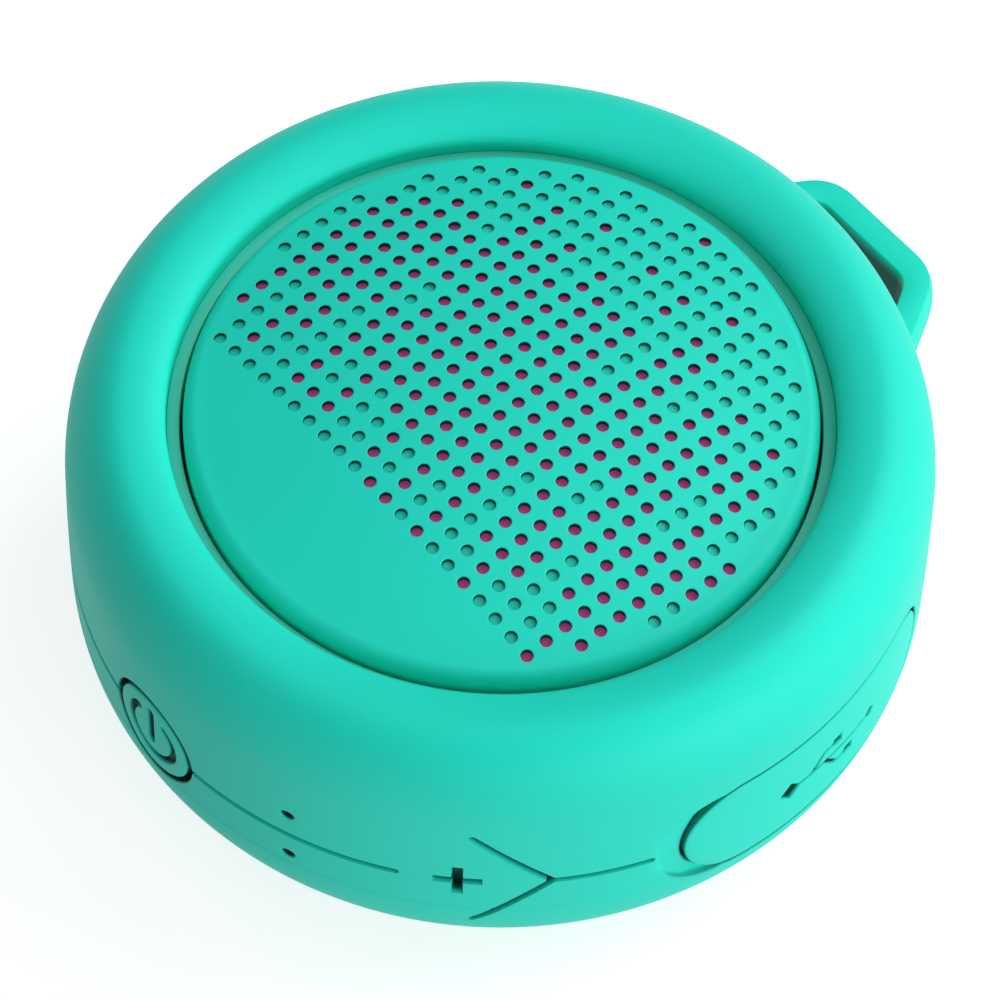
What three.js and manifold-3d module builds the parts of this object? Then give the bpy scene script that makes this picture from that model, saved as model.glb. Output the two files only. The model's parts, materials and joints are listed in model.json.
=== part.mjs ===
// A round, splash-proof portable Bluetooth speaker in a silicone sleeve with a moulded strap loop.
// Millimetres. +Z is up, the origin is the centre of the foot, and the power button faces -Y.
// A bearing is measured round the body from the front (-Y), growing towards +X.
import * as THREE from "three";
import { mergeGeometries, mergeVertices } from "three/addons/utils/BufferGeometryUtils.js";
import Module from "manifold-3d";

const wasm = await Module();
wasm.setup();

// ---------------------------------------------------------------- driving dimensions

const GAP = 0.3; // clearance between neighbouring pieces
const WELD = 1e-4;
const ROUND_SEGMENTS = 48;
const DRIVER_SEGMENTS = 28;
const SMALL_SEGMENTS = 12;

// Outside shape of the sleeve, as radii and heights.
const BODY_RADIUS = 43;
const BAND_LOW = 15; // the nearly upright band runs between these two heights
const BAND_HIGH = 29.5;
const BAND_HIGH_RADIUS = 42.7;
const CREST_RADIUS = 36.6;
const CREST_HEIGHT = 39;
const LIP_RADIUS = 32.6;
const LIP_HEIGHT = 37.3;
const UNDERSIDE_RADIUS = 29.1; // where the lower curve meets the underside
const UNDERSIDE_HEIGHT = 0.4;
const SKIN = 2.2;
const SLEEVE_FLOOR_HOLE = 24.6;
const CONTROL_HEIGHT = 20.1; // the line that the buttons, the groove and the port sit on

// Strap loop, seen from above.
const LOOP_THICKNESS = 6.4;
const LOOP_REACH = 51.4;
const LOOP_OUTER_HALF = 7.9;
const LOOP_ROOT_HALF = 14.8;
const LOOP_ROOT_Y = 40;
const LOOP_WALL = 2.3;
const LOOP_CORNER = 3;

// Grille.
const GRILLE_RADIUS = 30.95;
const GRILLE_APEX = 40.8;
const GRILLE_DOME = 0.00372; // the dome drops by this times the radius squared
const GRILLE_THICKNESS = 0.5;
const GRILLE_ROLL = 1.55;
const GRILLE_SEAT = 33.7;
const GRILLE_RIM_WIDTH = 1.05;
const RING_HEIGHT = 35.6;
const CLOTH_RADIUS = 28.3;
const CLOTH_THICKNESS = 0.4;
const CLOTH_GAP = 0.2;
const HOLE_PITCH = 2.34;
const HOLE_RADIUS = 0.58;
// Each column of holes is open from one row to another, like a bar of a level meter.
// The columns run from left to right, and each pair is [highest open row, lowest open row].
const FIRST_COLUMN = -11;
const OPEN_ROWS = [
  [3, -5], [4, -2], [5, -6], [5, -4], [4, -1], [8, -6], [6, -3], [7, -6],
  [5, -3], [7, -4], [6, -6], [6, -4], [6, -7], [3, -4], [5, -7], [8, -1],
  [4, -5], [6, -7], [7, -5], [5, -2], [7, -4], [5, -7], [1, -5], [2, 0],
];
// Single places, as [column, row], that are open beyond the bars or closed within them.
const LONE_OPEN = [
  [-8, 8], [-5, -6], [-4, 9], [-1, 9], [-1, 12], [0, -7], [1, 8], [1, 9],
  [3, 6], [3, 7], [3, 8], [3, 10],
];
const LONE_CLOSED = [[-6, 0], [-6, 1], [6, -1], [6, 0], [9, 1], [9, 2], [9, 3]];

// Housings.
const SHELL_RADIUS = BODY_RADIUS - SKIN - GAP;
const SHELL_WALL = 2;
const SPLIT_HEIGHT = 14.2;
const SHOULDER_HEIGHT = 33.4;
const SHOULDER_RADIUS = 38;
const BAFFLE_TOP = 29.6;
const BAFFLE_BOTTOM = 27.6;
const BAFFLE_HOLE = 19.6;
const COLLAR_RADIUS = 29.4;
const FLOOR_TOP = 4.1;

// Foot pad and case screws.
const FOOT_RADIUS = 24.2;
const FOOT_THICKNESS = 1.6;
const CASE_POST_CIRCLE = 21.5;
const CASE_POST_RADIUS = 3.4;
const CASE_POST_TOP = 16.8;
const CASE_HEAD_RADIUS = 2.1;
const CASE_HEAD_LOW = 4;
const CASE_HEAD_HIGH = 5.4;
const CASE_SHANK_RADIUS = 0.9;
const CASE_SHANK_TOP = 21;
const CASE_BEARINGS = [0, 90, 180, 270];

// Driver, centred on the body's axis.
const FLANGE_LOW = BAFFLE_TOP + GAP;
const FLANGE_HIGH = 31.1;
const FLANGE_RADIUS = 24;
const DRIVER_SCREW_CIRCLE = 22.3;
const DRIVER_BEARINGS = [45, 135, 225, 315];
const BASKET_LOW = 21.2;
const POLE_RADIUS = 5.6;
const COIL_RADIUS = 6.6;
const COIL_LOW = 17.4;
const COIL_HIGH = 24.6;
const YOKE_LOW = 11.8;
const YOKE_RADIUS = 13.5;
const YOKE_PLATE_TOP = 13.3;
const TOP_PLATE_LOW = 19.2;
const TOP_PLATE_HIGH = 20.9;
const MAGNET_INNER = 8;
const MAGNET_OUTER = 14;
const CONE_THROAT = [6.3, 24.9]; // radius and height of the cone's lower face at each end
const CONE_MOUTH = [15.2, 30.9];
const CONE_THICKNESS = 0.6;
const DUST_CAP_RADIUS = 7.5;
const DUST_CAP_HEIGHT = 26.5;
const SURROUND_RADIUS = 17.1; // the middle of the half-round roll
const SURROUND_ROLL = 1.6;
const SURROUND_THICKNESS = 0.4;
const SPIDER_INNER = 6.95;
const SPIDER_OUTER = 13.5;
const SPIDER_HEIGHT = 23.1;
const SPIDER_THICKNESS = 0.35;
const SPIDER_WAVES = 6;
const SPIDER_WAVE_HEIGHT = 0.3;
const SCREW_HOLE_RADIUS = 1.1;
const SMALL_SHANK_RADIUS = 0.8;
const SMALL_HEAD_HEIGHT = 1.2;

// Main board, a C-shaped plate round the driver.
const BOARD_LOW = 15.9;
const BOARD_HIGH = 17.1;
const BOARD_INNER = 25;
const BOARD_OUTER = 36.5;
const BOARD_START = -62;
const BOARD_END = 130;
const BOARD_BOSS_CIRCLE = 28.5;
const BOARD_BOSS_RADIUS = 2.2;
const BOARD_BEARINGS = [-25, 72, 122];
const BOARD_PILOT_TOP = 22.5;

// Battery, lying flat on its pad.
const BATTERY_HALF_SIZE = [17, 14];
const BATTERY_CORNER = 2.5;
const BATTERY_LOW = 5.3;
const BATTERY_HIGH = 10.5;
const BATTERY_PAD_THICKNESS = 0.6;

// Controls, lamp and microphone.
const POWER_BEARING = -1.2;
const VOLUME_BEARING = 45;
const BUTTON_HOLE = 5.9;
const BUTTON_RADIUS = 5.2;
const STEM_RADIUS = 1.3;
const STEM_END = 38.3; // how far from the body's axis each plunger stops
const KEY_RADIUS = 3;
const PINHOLE_BEARING = 22.3;
const PINHOLE_OFFSET = 3.6;
const PINHOLE_RADIUS = 0.6;

// Port cover, laid out along the circumference.
const COVER_LEFT = 56.1;
const COVER_RIGHT = 91.7;
const COVER_HALF_HEIGHT = 6.75;
const COVER_INNER_RADIUS = BODY_RADIUS - SKIN + GAP;
const RECESS_LEFT = 53.2;
const RECESS_FLOOR_RADIUS = 41.9;
const PORT_BEARING = 84;
const PORT_HEIGHT = 18.7;

// ---------------------------------------------------------------- shape helpers

const radians = THREE.MathUtils.degToRad;

// Points along an elliptical arc, ends included.
function arc(centreR, centreZ, semiR, semiZ, from, to, steps) {
  return Array.from({ length: steps + 1 }, (_, i) => {
    const angle = radians(from + ((to - from) * i) / steps);
    return [centreR + semiR * Math.cos(angle), centreZ + semiZ * Math.sin(angle)];
  });
}

// The same points, with any that are all but on the axis moved onto it.
function onAxis(points) {
  return points.map(([radius, height]) => [radius < WELD ? 0 : radius, height]);
}

function signedArea(points) {
  return points.reduce((sum, [x, y], i) => {
    const [nextX, nextY] = points[(i + 1) % points.length];
    return sum + (x * nextY - nextX * y) / 2;
  }, 0);
}

// A closed surface as a manifold-3d solid.
function solidOf(geometry) {
  const loose = geometry.index ? geometry.toNonIndexed() : geometry;
  const bare = new THREE.BufferGeometry();
  bare.setAttribute("position", loose.getAttribute("position"));
  const welded = mergeVertices(bare, WELD);
  const mesh = new wasm.Mesh({
    numProp: 3,
    vertProperties: welded.attributes.position.array,
    triVerts: new Uint32Array(welded.index.array),
  });
  return new wasm.Manifold(mesh);
}

// A profile of [radius, height] points turned about the vertical axis.
function latheGeometry(profile, segments) {
  const points = profile.filter(([r, z], i) => {
    const [lastR, lastZ] = profile[(i || profile.length) - 1];
    return Math.hypot(r - lastR, z - lastZ) > WELD;
  });
  const ordered = signedArea(points) > 0 ? points : points.toReversed();
  const start = Math.max(0, ordered.findIndex(([r], i) => r === 0 && ordered.at(i - 1)[0] === 0));
  const turned = [...ordered.slice(start), ...ordered.slice(0, start)];
  const closed = turned[0][0] === 0 ? turned : [...turned, turned[0]];
  const vectors = closed.map(([r, z]) => new THREE.Vector2(r, z));
  return new THREE.LatheGeometry(vectors, segments).rotateX(Math.PI / 2);
}

function lathe(profile, segments = ROUND_SEGMENTS) {
  return solidOf(latheGeometry(profile, segments));
}

// A plain ring, or a disc when the inner radius is 0.
function ring(inner, outer, low, high, segments = ROUND_SEGMENTS) {
  return lathe([[inner, low], [outer, low], [outer, high], [inner, high]], segments);
}

// A profile turned about a line that points outwards at a bearing; heights become radii.
function radialLathe(profile, bearing, height, segments = SMALL_SEGMENTS) {
  const geometry = latheGeometry(profile, segments);
  geometry.rotateX(Math.PI / 2);
  geometry.translate(0, 0, height);
  geometry.rotateZ(radians(bearing));
  return solidOf(geometry);
}

function radialRod(radius, from, to, bearing, height, segments = SMALL_SEGMENTS) {
  return radialLathe([[0, from], [radius, from], [radius, to], [0, to]], bearing, height, segments);
}

// A box that faces outwards at a bearing, between two distances from the axis and two heights.
function radialBox(width, from, to, low, high, bearing) {
  const geometry = new THREE.BoxGeometry(width, to - from, high - low);
  geometry.translate(0, -(from + to) / 2, (low + high) / 2);
  geometry.rotateZ(radians(bearing));
  return solidOf(geometry);
}

// An upright post, hole or pin at a bearing.
function post(radius, low, high, circle, bearing, segments = SMALL_SEGMENTS) {
  const geometry = latheGeometry([[0, low], [radius, low], [radius, high], [0, high]], segments);
  geometry.translate(0, -circle, 0).rotateZ(radians(bearing));
  return solidOf(geometry);
}

// A plate cut from a THREE.Shape, between two heights.
function plate(shape, low, high, curveSegments = 6) {
  const options = { depth: high - low, bevelEnabled: false, curveSegments };
  return solidOf(new THREE.ExtrudeGeometry(shape, options).translate(0, 0, low));
}

// A polygon whose corners are rounded off.
function roundedShape(corners, radius) {
  const shape = new THREE.Shape();
  const vectors = corners.map(([x, y]) => new THREE.Vector2(x, y));
  vectors.forEach((corner, i) => {
    const before = vectors.at(i - 1).clone().sub(corner).setLength(radius).add(corner);
    const after = vectors[(i + 1) % vectors.length].clone().sub(corner).setLength(radius).add(corner);
    if (i === 0) shape.moveTo(before.x, before.y);
    else shape.lineTo(before.x, before.y);
    shape.quadraticCurveTo(corner.x, corner.y, after.x, after.y);
  });
  shape.closePath();
  return shape;
}

// A round lead along a smooth curve through hand-placed points.
function lead(points, radius) {
  const section = new THREE.Shape().absarc(0, 0, radius, 0, 2 * Math.PI);
  const path = new THREE.CatmullRomCurve3(points.map((p) => new THREE.Vector3(...p)));
  return solidOf(new THREE.ExtrudeGeometry(section, { steps: 8, curveSegments: 3, extrudePath: path }));
}

// A stadium wrapped round the body: its columns run from one arc length to another.
function wrappedStadium(left, right, halfHeight, inner, outer) {
  const leftEnd = arc(left + halfHeight, 0, halfHeight, halfHeight, 172, 90, 5);
  const rightEnd = arc(right - halfHeight, 0, halfHeight, halfHeight, 90, 8, 5);
  const straight = [0.25, 0.5, 0.75].map((t) => [
    THREE.MathUtils.lerp(left + halfHeight, right - halfHeight, t),
    halfHeight,
  ]);
  const columns = [...leftEnd, ...straight, ...rightEnd];
  const corner = ([along, half], radius, side) => {
    const angle = along / BODY_RADIUS;
    return [radius * Math.sin(angle), -radius * Math.cos(angle), CONTROL_HEIGHT + side * half];
  };
  const positions = columns.flatMap((column) => [
    ...corner(column, inner, -1),
    ...corner(column, outer, -1),
    ...corner(column, outer, 1),
    ...corner(column, inner, 1),
  ]);
  const faces = [];
  const quad = (a, b, c, d) => faces.push(a, b, c, a, c, d);
  for (let i = 0; i < columns.length - 1; i++) {
    for (let side = 0; side < 4; side++) {
      const next = (side + 1) % 4;
      quad(4 * i + side, 4 * i + 4 + side, 4 * i + 4 + next, 4 * i + next);
    }
  }
  const last = 4 * (columns.length - 1);
  quad(0, 1, 2, 3);
  quad(last + 3, last + 2, last + 1, last);
  const geometry = new THREE.BufferGeometry();
  geometry.setAttribute("position", new THREE.Float32BufferAttribute(positions, 3));
  geometry.setIndex(faces);
  return solidOf(geometry);
}

const joined = (...solids) => solids.reduce((whole, piece) => whole.add(piece));
const cutBy = (solid, ...tools) => tools.reduce((rest, tool) => rest.subtract(tool), solid);

// ---------------------------------------------------------------- materials and assembly

function material(color, roughness, metalness = 0) {
  return new THREE.MeshStandardMaterial({ color, roughness, metalness });
}

const silicone = material(0x2edcc4, 0.55);
const tealPlastic = material(0x30e0c8, 0.45);
const darkPlastic = material(0x1c2022, 0.6);
const cloth = material(0xb0346f, 0.8);
const steel = material(0xb8bcc0, 0.35, 1);
const ferrite = material(0x2b2b2e, 0.7);
const copper = material(0xb5622d, 0.4, 1);
const paper = material(0x252628, 0.9);
const rubber = material(0x17191b, 0.85);
const laminate = material(0x0d5b3a, 0.5);
const foil = material(0x9aa3ad, 0.4, 0.6);
const foam = material(0xd8d8d2, 0.95);
const redInsulation = material(0xb3202a, 0.5);
const blackInsulation = material(0x141414, 0.5);

const speaker = new THREE.Group();
speaker.name = "portable_bluetooth_speaker";

function addPart(name, solid, partMaterial) {
  const { vertProperties, triVerts } = solid.getMesh();
  const geometry = new THREE.BufferGeometry();
  geometry.setAttribute("position", new THREE.BufferAttribute(vertProperties, 3));
  geometry.setIndex(new THREE.BufferAttribute(triVerts, 1));
  geometry.computeVertexNormals();
  const mesh = new THREE.Mesh(geometry, partMaterial.clone());
  mesh.name = name;
  speaker.add(mesh);
}

// ---------------------------------------------------------------- sleeve and foot

// The lower curve of the body, moved inwards by an inset.
function lowerCurve(inset, from, to, steps) {
  const semiR = BODY_RADIUS - UNDERSIDE_RADIUS - inset;
  const semiZ = BAND_LOW - UNDERSIDE_HEIGHT - inset;
  return arc(UNDERSIDE_RADIUS, BAND_LOW, semiR, semiZ, from, to, steps);
}

function strapLoop() {
  const outline = (reach, outerHalf, rootHalf) => [
    [-rootHalf, LOOP_ROOT_Y],
    [rootHalf, LOOP_ROOT_Y],
    [outerHalf, reach],
    [-outerHalf, reach],
  ];
  const low = CONTROL_HEIGHT - LOOP_THICKNESS / 2;
  const high = CONTROL_HEIGHT + LOOP_THICKNESS / 2;
  const outer = roundedShape(outline(LOOP_REACH, LOOP_OUTER_HALF, LOOP_ROOT_HALF), LOOP_CORNER);
  const slotCorners = outline(
    LOOP_REACH - LOOP_WALL,
    LOOP_OUTER_HALF - 0.6 * LOOP_WALL,
    LOOP_ROOT_HALF - 1.2 * LOOP_WALL,
  );
  const slot = roundedShape(slotCorners, LOOP_CORNER - LOOP_WALL / 2);
  const body = ring(0, BODY_RADIUS - SKIN / 2, low - 1, high + 1);
  return cutBy(plate(outer, low, high), plate(slot, low - 1, high + 1), body);
}

function siliconeSleeve() {
  const shoulder = arc(
    CREST_RADIUS, BAND_HIGH, BAND_HIGH_RADIUS - CREST_RADIUS, CREST_HEIGHT - BAND_HIGH, 90, 0, 6,
  );
  const innerRoll = arc(
    CREST_RADIUS, LIP_HEIGHT, CREST_RADIUS - LIP_RADIUS, CREST_HEIGHT - LIP_HEIGHT, 180, 90, 3,
  );
  const shell = lathe([
    ...innerRoll,
    ...shoulder,
    ...lowerCurve(0, 0, -90, 5),
    [SLEEVE_FLOOR_HOLE, UNDERSIDE_HEIGHT],
    [SLEEVE_FLOOR_HOLE, UNDERSIDE_HEIGHT + SKIN],
    ...lowerCurve(SKIN, -90, 0, 4),
    [BODY_RADIUS - SKIN, BAND_HIGH - 0.5],
    [SHOULDER_RADIUS + 0.5, SHOULDER_HEIGHT + GAP],
    [LIP_RADIUS, SHOULDER_HEIGHT + GAP],
  ]);
  const beyond = BODY_RADIUS + 1;
  const behind = BODY_RADIUS - SKIN - 1;
  const buttonHole = radialRod(BUTTON_HOLE, behind, beyond, POWER_BEARING, CONTROL_HEIGHT, 24);
  const window = wrappedStadium(
    COVER_LEFT - GAP, COVER_RIGHT + GAP, COVER_HALF_HEIGHT + GAP, behind, beyond,
  );
  const thumbRecess = wrappedStadium(
    RECESS_LEFT, COVER_LEFT + 2 * COVER_HALF_HEIGHT, COVER_HALF_HEIGHT, RECESS_FLOOR_RADIUS, beyond,
  );
  const pinholes = [-1, 1].map((side) => {
    const height = CONTROL_HEIGHT + side * PINHOLE_OFFSET;
    return radialRod(PINHOLE_RADIUS, behind, beyond, PINHOLE_BEARING, height, 8);
  });
  return cutBy(joined(shell, strapLoop()), buttonHole, window, thumbRecess, ...pinholes);
}

function footPad() {
  return lathe([
    [0, 0], [FOOT_RADIUS - 0.6, 0], [FOOT_RADIUS, 0.6], [FOOT_RADIUS, FOOT_THICKNESS],
    [0, FOOT_THICKNESS],
  ], 32);
}

// ---------------------------------------------------------------- grille

function domeHeight(radius, apex) {
  return apex - GRILLE_DOME * radius * radius;
}

// The dome's profile from one radius to another under a given apex.
function domeProfile(from, to, apex, steps = 3) {
  return Array.from({ length: steps + 1 }, (_, i) => {
    const r = THREE.MathUtils.lerp(from, to, i / steps);
    return [r, domeHeight(r, apex)];
  });
}

function openPlaces() {
  const places = [...LONE_OPEN];
  OPEN_ROWS.forEach(([highest, lowest], index) => {
    for (let row = lowest; row <= highest; row++) {
      places.push([FIRST_COLUMN + index, row]);
    }
  });
  const isClosed = ([column, row]) => LONE_CLOSED.some(([c, r]) => c === column && r === row);
  return places.filter((place) => !isClosed(place));
}

function grilleHoles() {
  const prisms = openPlaces().map(([column, row]) => {
    const prism = new THREE.CylinderGeometry(HOLE_RADIUS, HOLE_RADIUS, 2 * GRILLE_ROLL + 5, 4);
    prism.rotateX(Math.PI / 2);
    return prism.translate(column * HOLE_PITCH, row * HOLE_PITCH, GRILLE_APEX - 2);
  });
  return solidOf(mergeGeometries(prisms));
}

function grillePanel() {
  const rollStart = GRILLE_RADIUS - GRILLE_ROLL;
  const rollTop = domeHeight(rollStart, GRILLE_APEX);
  const underApex = GRILLE_APEX - GRILLE_THICKNESS;
  const rimInner = GRILLE_RADIUS - GRILLE_RIM_WIDTH;
  const panel = lathe([
    ...domeProfile(0, rollStart, GRILLE_APEX),
    ...arc(rollStart, rollTop - GRILLE_ROLL, GRILLE_ROLL, GRILLE_ROLL, 78, 0, 3),
    [GRILLE_RADIUS, GRILLE_SEAT],
    [rimInner, GRILLE_SEAT],
    ...domeProfile(rimInner, 0, underApex),
  ], 36);
  return cutBy(panel, grilleHoles());
}

function grilleRing() {
  return ring(GRILLE_RADIUS + GAP, LIP_RADIUS - GAP, GRILLE_SEAT, RING_HEIGHT);
}

function acousticCloth() {
  const top = GRILLE_APEX - GRILLE_THICKNESS - CLOTH_GAP;
  const underside = top - CLOTH_THICKNESS;
  return lathe([
    ...domeProfile(0, CLOTH_RADIUS, top),
    ...domeProfile(CLOTH_RADIUS, 0, underside),
  ], 28);
}

// ---------------------------------------------------------------- housings

function upperHousing() {
  const shell = lathe([
    [BAFFLE_HOLE, BAFFLE_BOTTOM],
    [COLLAR_RADIUS + SHELL_WALL, BAFFLE_BOTTOM],
    [COLLAR_RADIUS + SHELL_WALL, SHOULDER_HEIGHT - SHELL_WALL],
    [SHOULDER_RADIUS - 0.8, SHOULDER_HEIGHT - SHELL_WALL],
    [SHELL_RADIUS - SHELL_WALL, BAND_HIGH - 0.8],
    [SHELL_RADIUS - SHELL_WALL, SPLIT_HEIGHT + GAP],
    [SHELL_RADIUS, SPLIT_HEIGHT + GAP],
    [SHELL_RADIUS, BAND_HIGH - 0.8],
    [SHOULDER_RADIUS, SHOULDER_HEIGHT],
    [COLLAR_RADIUS, SHOULDER_HEIGHT],
    [COLLAR_RADIUS, BAFFLE_TOP],
    [BAFFLE_HOLE, BAFFLE_TOP],
  ]);
  const into = BAFFLE_BOTTOM + 1;
  const caseBosses = CASE_BEARINGS.map((b) =>
    post(CASE_POST_RADIUS - 0.8, CASE_POST_TOP + GAP, into, CASE_POST_CIRCLE, b));
  const boardBosses = BOARD_BEARINGS.map((b) =>
    post(BOARD_BOSS_RADIUS, BOARD_HIGH + GAP, into, BOARD_BOSS_CIRCLE, b));
  const casePilots = CASE_BEARINGS.map((b) =>
    post(CASE_SHANK_RADIUS + GAP, CASE_POST_TOP, CASE_SHANK_TOP + 1, CASE_POST_CIRCLE, b, 10));
  const boardPilots = BOARD_BEARINGS.map((b) =>
    post(SCREW_HOLE_RADIUS, BOARD_HIGH, BOARD_PILOT_TOP, BOARD_BOSS_CIRCLE, b, 10));
  const driverHoles = DRIVER_BEARINGS.map((b) =>
    post(SCREW_HOLE_RADIUS, BAFFLE_BOTTOM - 1, BAFFLE_TOP + 1, DRIVER_SCREW_CIRCLE, b, 10));
  const through = [SHELL_RADIUS - SHELL_WALL - 1, SHELL_RADIUS + 1];
  const keyHoles = [-VOLUME_BEARING, VOLUME_BEARING].map((b) =>
    radialRod(KEY_RADIUS + 0.4, ...through, b, CONTROL_HEIGHT));
  const stemHole = radialRod(STEM_RADIUS + 0.6, ...through, POWER_BEARING, CONTROL_HEIGHT);
  const pinholes = [-1, 1].map((side) =>
    radialRod(1, ...through, PINHOLE_BEARING, CONTROL_HEIGHT + side * PINHOLE_OFFSET, 8));
  const portHole = radialBox(9, ...through, PORT_HEIGHT - 2.2, PORT_HEIGHT + 2.2, PORT_BEARING);
  return cutBy(
    joined(shell, ...caseBosses, ...boardBosses),
    ...casePilots, ...boardPilots, ...driverHoles, ...keyHoles, stemHole, ...pinholes, portHole,
  );
}

function lowerHousing() {
  const outset = SKIN + GAP;
  const rimAngle = (Math.asin((SPLIT_HEIGHT - BAND_LOW) / (BAND_LOW - UNDERSIDE_HEIGHT - outset)) * 180)
    / Math.PI;
  const shell = lathe([
    [0, FOOT_THICKNESS + GAP],
    [FOOT_RADIUS, FOOT_THICKNESS + GAP],
    [FOOT_RADIUS, UNDERSIDE_HEIGHT + outset],
    ...lowerCurve(outset, -90, rimAngle, 4),
    [SHELL_RADIUS - 0.6, SPLIT_HEIGHT],
    [SHELL_RADIUS - 0.6, SPLIT_HEIGHT - 1.2],
    [SHELL_RADIUS - 1.4, SPLIT_HEIGHT - 1.2],
    [SHELL_RADIUS - 1.4, SPLIT_HEIGHT],
    [SHELL_RADIUS - SHELL_WALL, SPLIT_HEIGHT],
    ...lowerCurve(outset + SHELL_WALL, rimAngle, -78, 4),
    [UNDERSIDE_RADIUS - 1, FLOOR_TOP],
    [0, FLOOR_TOP],
  ]);
  const posts = CASE_BEARINGS.map((b) =>
    post(CASE_POST_RADIUS, FLOOR_TOP - 0.5, CASE_POST_TOP, CASE_POST_CIRCLE, b));
  const counterbores = CASE_BEARINGS.map((b) =>
    post(CASE_HEAD_RADIUS + GAP, 0, CASE_HEAD_HIGH + GAP, CASE_POST_CIRCLE, b, 12));
  const clearances = CASE_BEARINGS.map((b) =>
    post(CASE_SHANK_RADIUS + GAP, 0, CASE_POST_TOP + 1, CASE_POST_CIRCLE, b, 10));
  return cutBy(joined(shell, ...posts), ...counterbores, ...clearances);
}

function caseSeal() {
  const [inner, outer] = [SHELL_RADIUS - 1.2, SHELL_RADIUS - 0.8];
  return ring(inner, outer, SPLIT_HEIGHT - 0.9, SPLIT_HEIGHT + 0.1, 36);
}

// ---------------------------------------------------------------- driver

function driverFrame() {
  const basket = lathe([
    [FLANGE_RADIUS, FLANGE_LOW],
    [FLANGE_RADIUS, FLANGE_HIGH],
    [18.3, FLANGE_HIGH],
    [18.3, FLANGE_HIGH - 0.9],
    [13.8, BASKET_LOW + 1],
    [8.6, BASKET_LOW + 1],
    [8.6, BASKET_LOW],
    [14.4, BASKET_LOW],
    [19.2, FLANGE_LOW],
  ], DRIVER_SEGMENTS);
  const windows = [0, 90, 180, 270].map((b) => radialBox(12, 12, 22, 23.4, 28, b));
  const screwHoles = DRIVER_BEARINGS.map((b) =>
    post(SCREW_HOLE_RADIUS, FLANGE_LOW - 1, FLANGE_HIGH + 1, DRIVER_SCREW_CIRCLE, b, 10));
  return cutBy(basket, ...windows, ...screwHoles);
}

function driverYoke() {
  return lathe([
    [0, YOKE_LOW],
    [YOKE_RADIUS, YOKE_LOW],
    [YOKE_RADIUS, YOKE_PLATE_TOP],
    [POLE_RADIUS, YOKE_PLATE_TOP],
    [POLE_RADIUS, TOP_PLATE_HIGH],
    [0, TOP_PLATE_HIGH],
  ], DRIVER_SEGMENTS);
}

function driverTopPlate() {
  return ring(MAGNET_INNER - 1, MAGNET_OUTER - 1, TOP_PLATE_LOW, TOP_PLATE_HIGH, DRIVER_SEGMENTS);
}

function driverMagnet() {
  const [low, high] = [YOKE_PLATE_TOP + GAP, TOP_PLATE_LOW - GAP];
  return ring(MAGNET_INNER, MAGNET_OUTER, low, high, DRIVER_SEGMENTS);
}

function voiceCoil() {
  return ring(COIL_RADIUS - 0.6, COIL_RADIUS, COIL_LOW, COIL_HIGH, DRIVER_SEGMENTS);
}

function speakerCone() {
  const raised = ([radius, height]) => [radius, height + CONE_THICKNESS];
  return lathe([CONE_THROAT, CONE_MOUTH, raised(CONE_MOUTH), raised(CONE_THROAT)], DRIVER_SEGMENTS);
}

function dustCap() {
  const rise = 2.3;
  const thickness = 0.5;
  const outer = arc(0, DUST_CAP_HEIGHT, DUST_CAP_RADIUS, rise, 0, 90, 3);
  const inner = arc(0, DUST_CAP_HEIGHT, DUST_CAP_RADIUS - thickness, rise - thickness, 90, 0, 3);
  return lathe([...onAxis(outer), ...onAxis(inner)], DRIVER_SEGMENTS);
}

function surround() {
  const seat = FLANGE_HIGH + GAP;
  const rimRadius = 20.6;
  const innerRoll = SURROUND_ROLL - SURROUND_THICKNESS;
  return lathe([
    [rimRadius, seat],
    [rimRadius, seat + SURROUND_THICKNESS],
    ...arc(SURROUND_RADIUS, seat, SURROUND_ROLL, SURROUND_ROLL, 15, 180, 5),
    ...arc(SURROUND_RADIUS, seat, innerRoll, innerRoll, 180, 0, 4),
  ], DRIVER_SEGMENTS);
}

// A corrugated disc that centres the voice coil.
function spider() {
  const upper = Array.from({ length: SPIDER_WAVES + 1 }, (_, i) => [
    THREE.MathUtils.lerp(SPIDER_INNER, SPIDER_OUTER, i / SPIDER_WAVES),
    SPIDER_HEIGHT + (i % 2 ? SPIDER_WAVE_HEIGHT : -SPIDER_WAVE_HEIGHT),
  ]);
  const lower = upper.toReversed().map(([r, z]) => [r, z - SPIDER_THICKNESS]);
  return lathe([...upper, ...lower], DRIVER_SEGMENTS);
}

// ---------------------------------------------------------------- electronics

function mainBoard() {
  const [start, end] = [BOARD_START, BOARD_END].map((bearing) => radians(bearing - 90));
  const outline = new THREE.Shape();
  outline.absarc(0, 0, BOARD_OUTER, start, end, false);
  outline.absarc(0, 0, BOARD_INNER, end, start, true);
  outline.closePath();
  const holes = BOARD_BEARINGS.map((b) =>
    post(SCREW_HOLE_RADIUS, BOARD_LOW - 1, BOARD_HIGH + 1, BOARD_BOSS_CIRCLE, b, 10));
  return cutBy(plate(outline, BOARD_LOW, BOARD_HIGH, 14), ...holes);
}

const ON_BOARD = BOARD_HIGH + GAP;

function tactSwitch(bearing) {
  const body = radialBox(6, 33, 36.4, ON_BOARD, ON_BOARD + 5.6, bearing);
  return cutBy(body, radialRod(1.9, 34.4, 37, bearing, CONTROL_HEIGHT, 12));
}

function switchStem(bearing) {
  return radialRod(1.5, 35.2, STEM_END - GAP, bearing, CONTROL_HEIGHT, 12);
}

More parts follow.
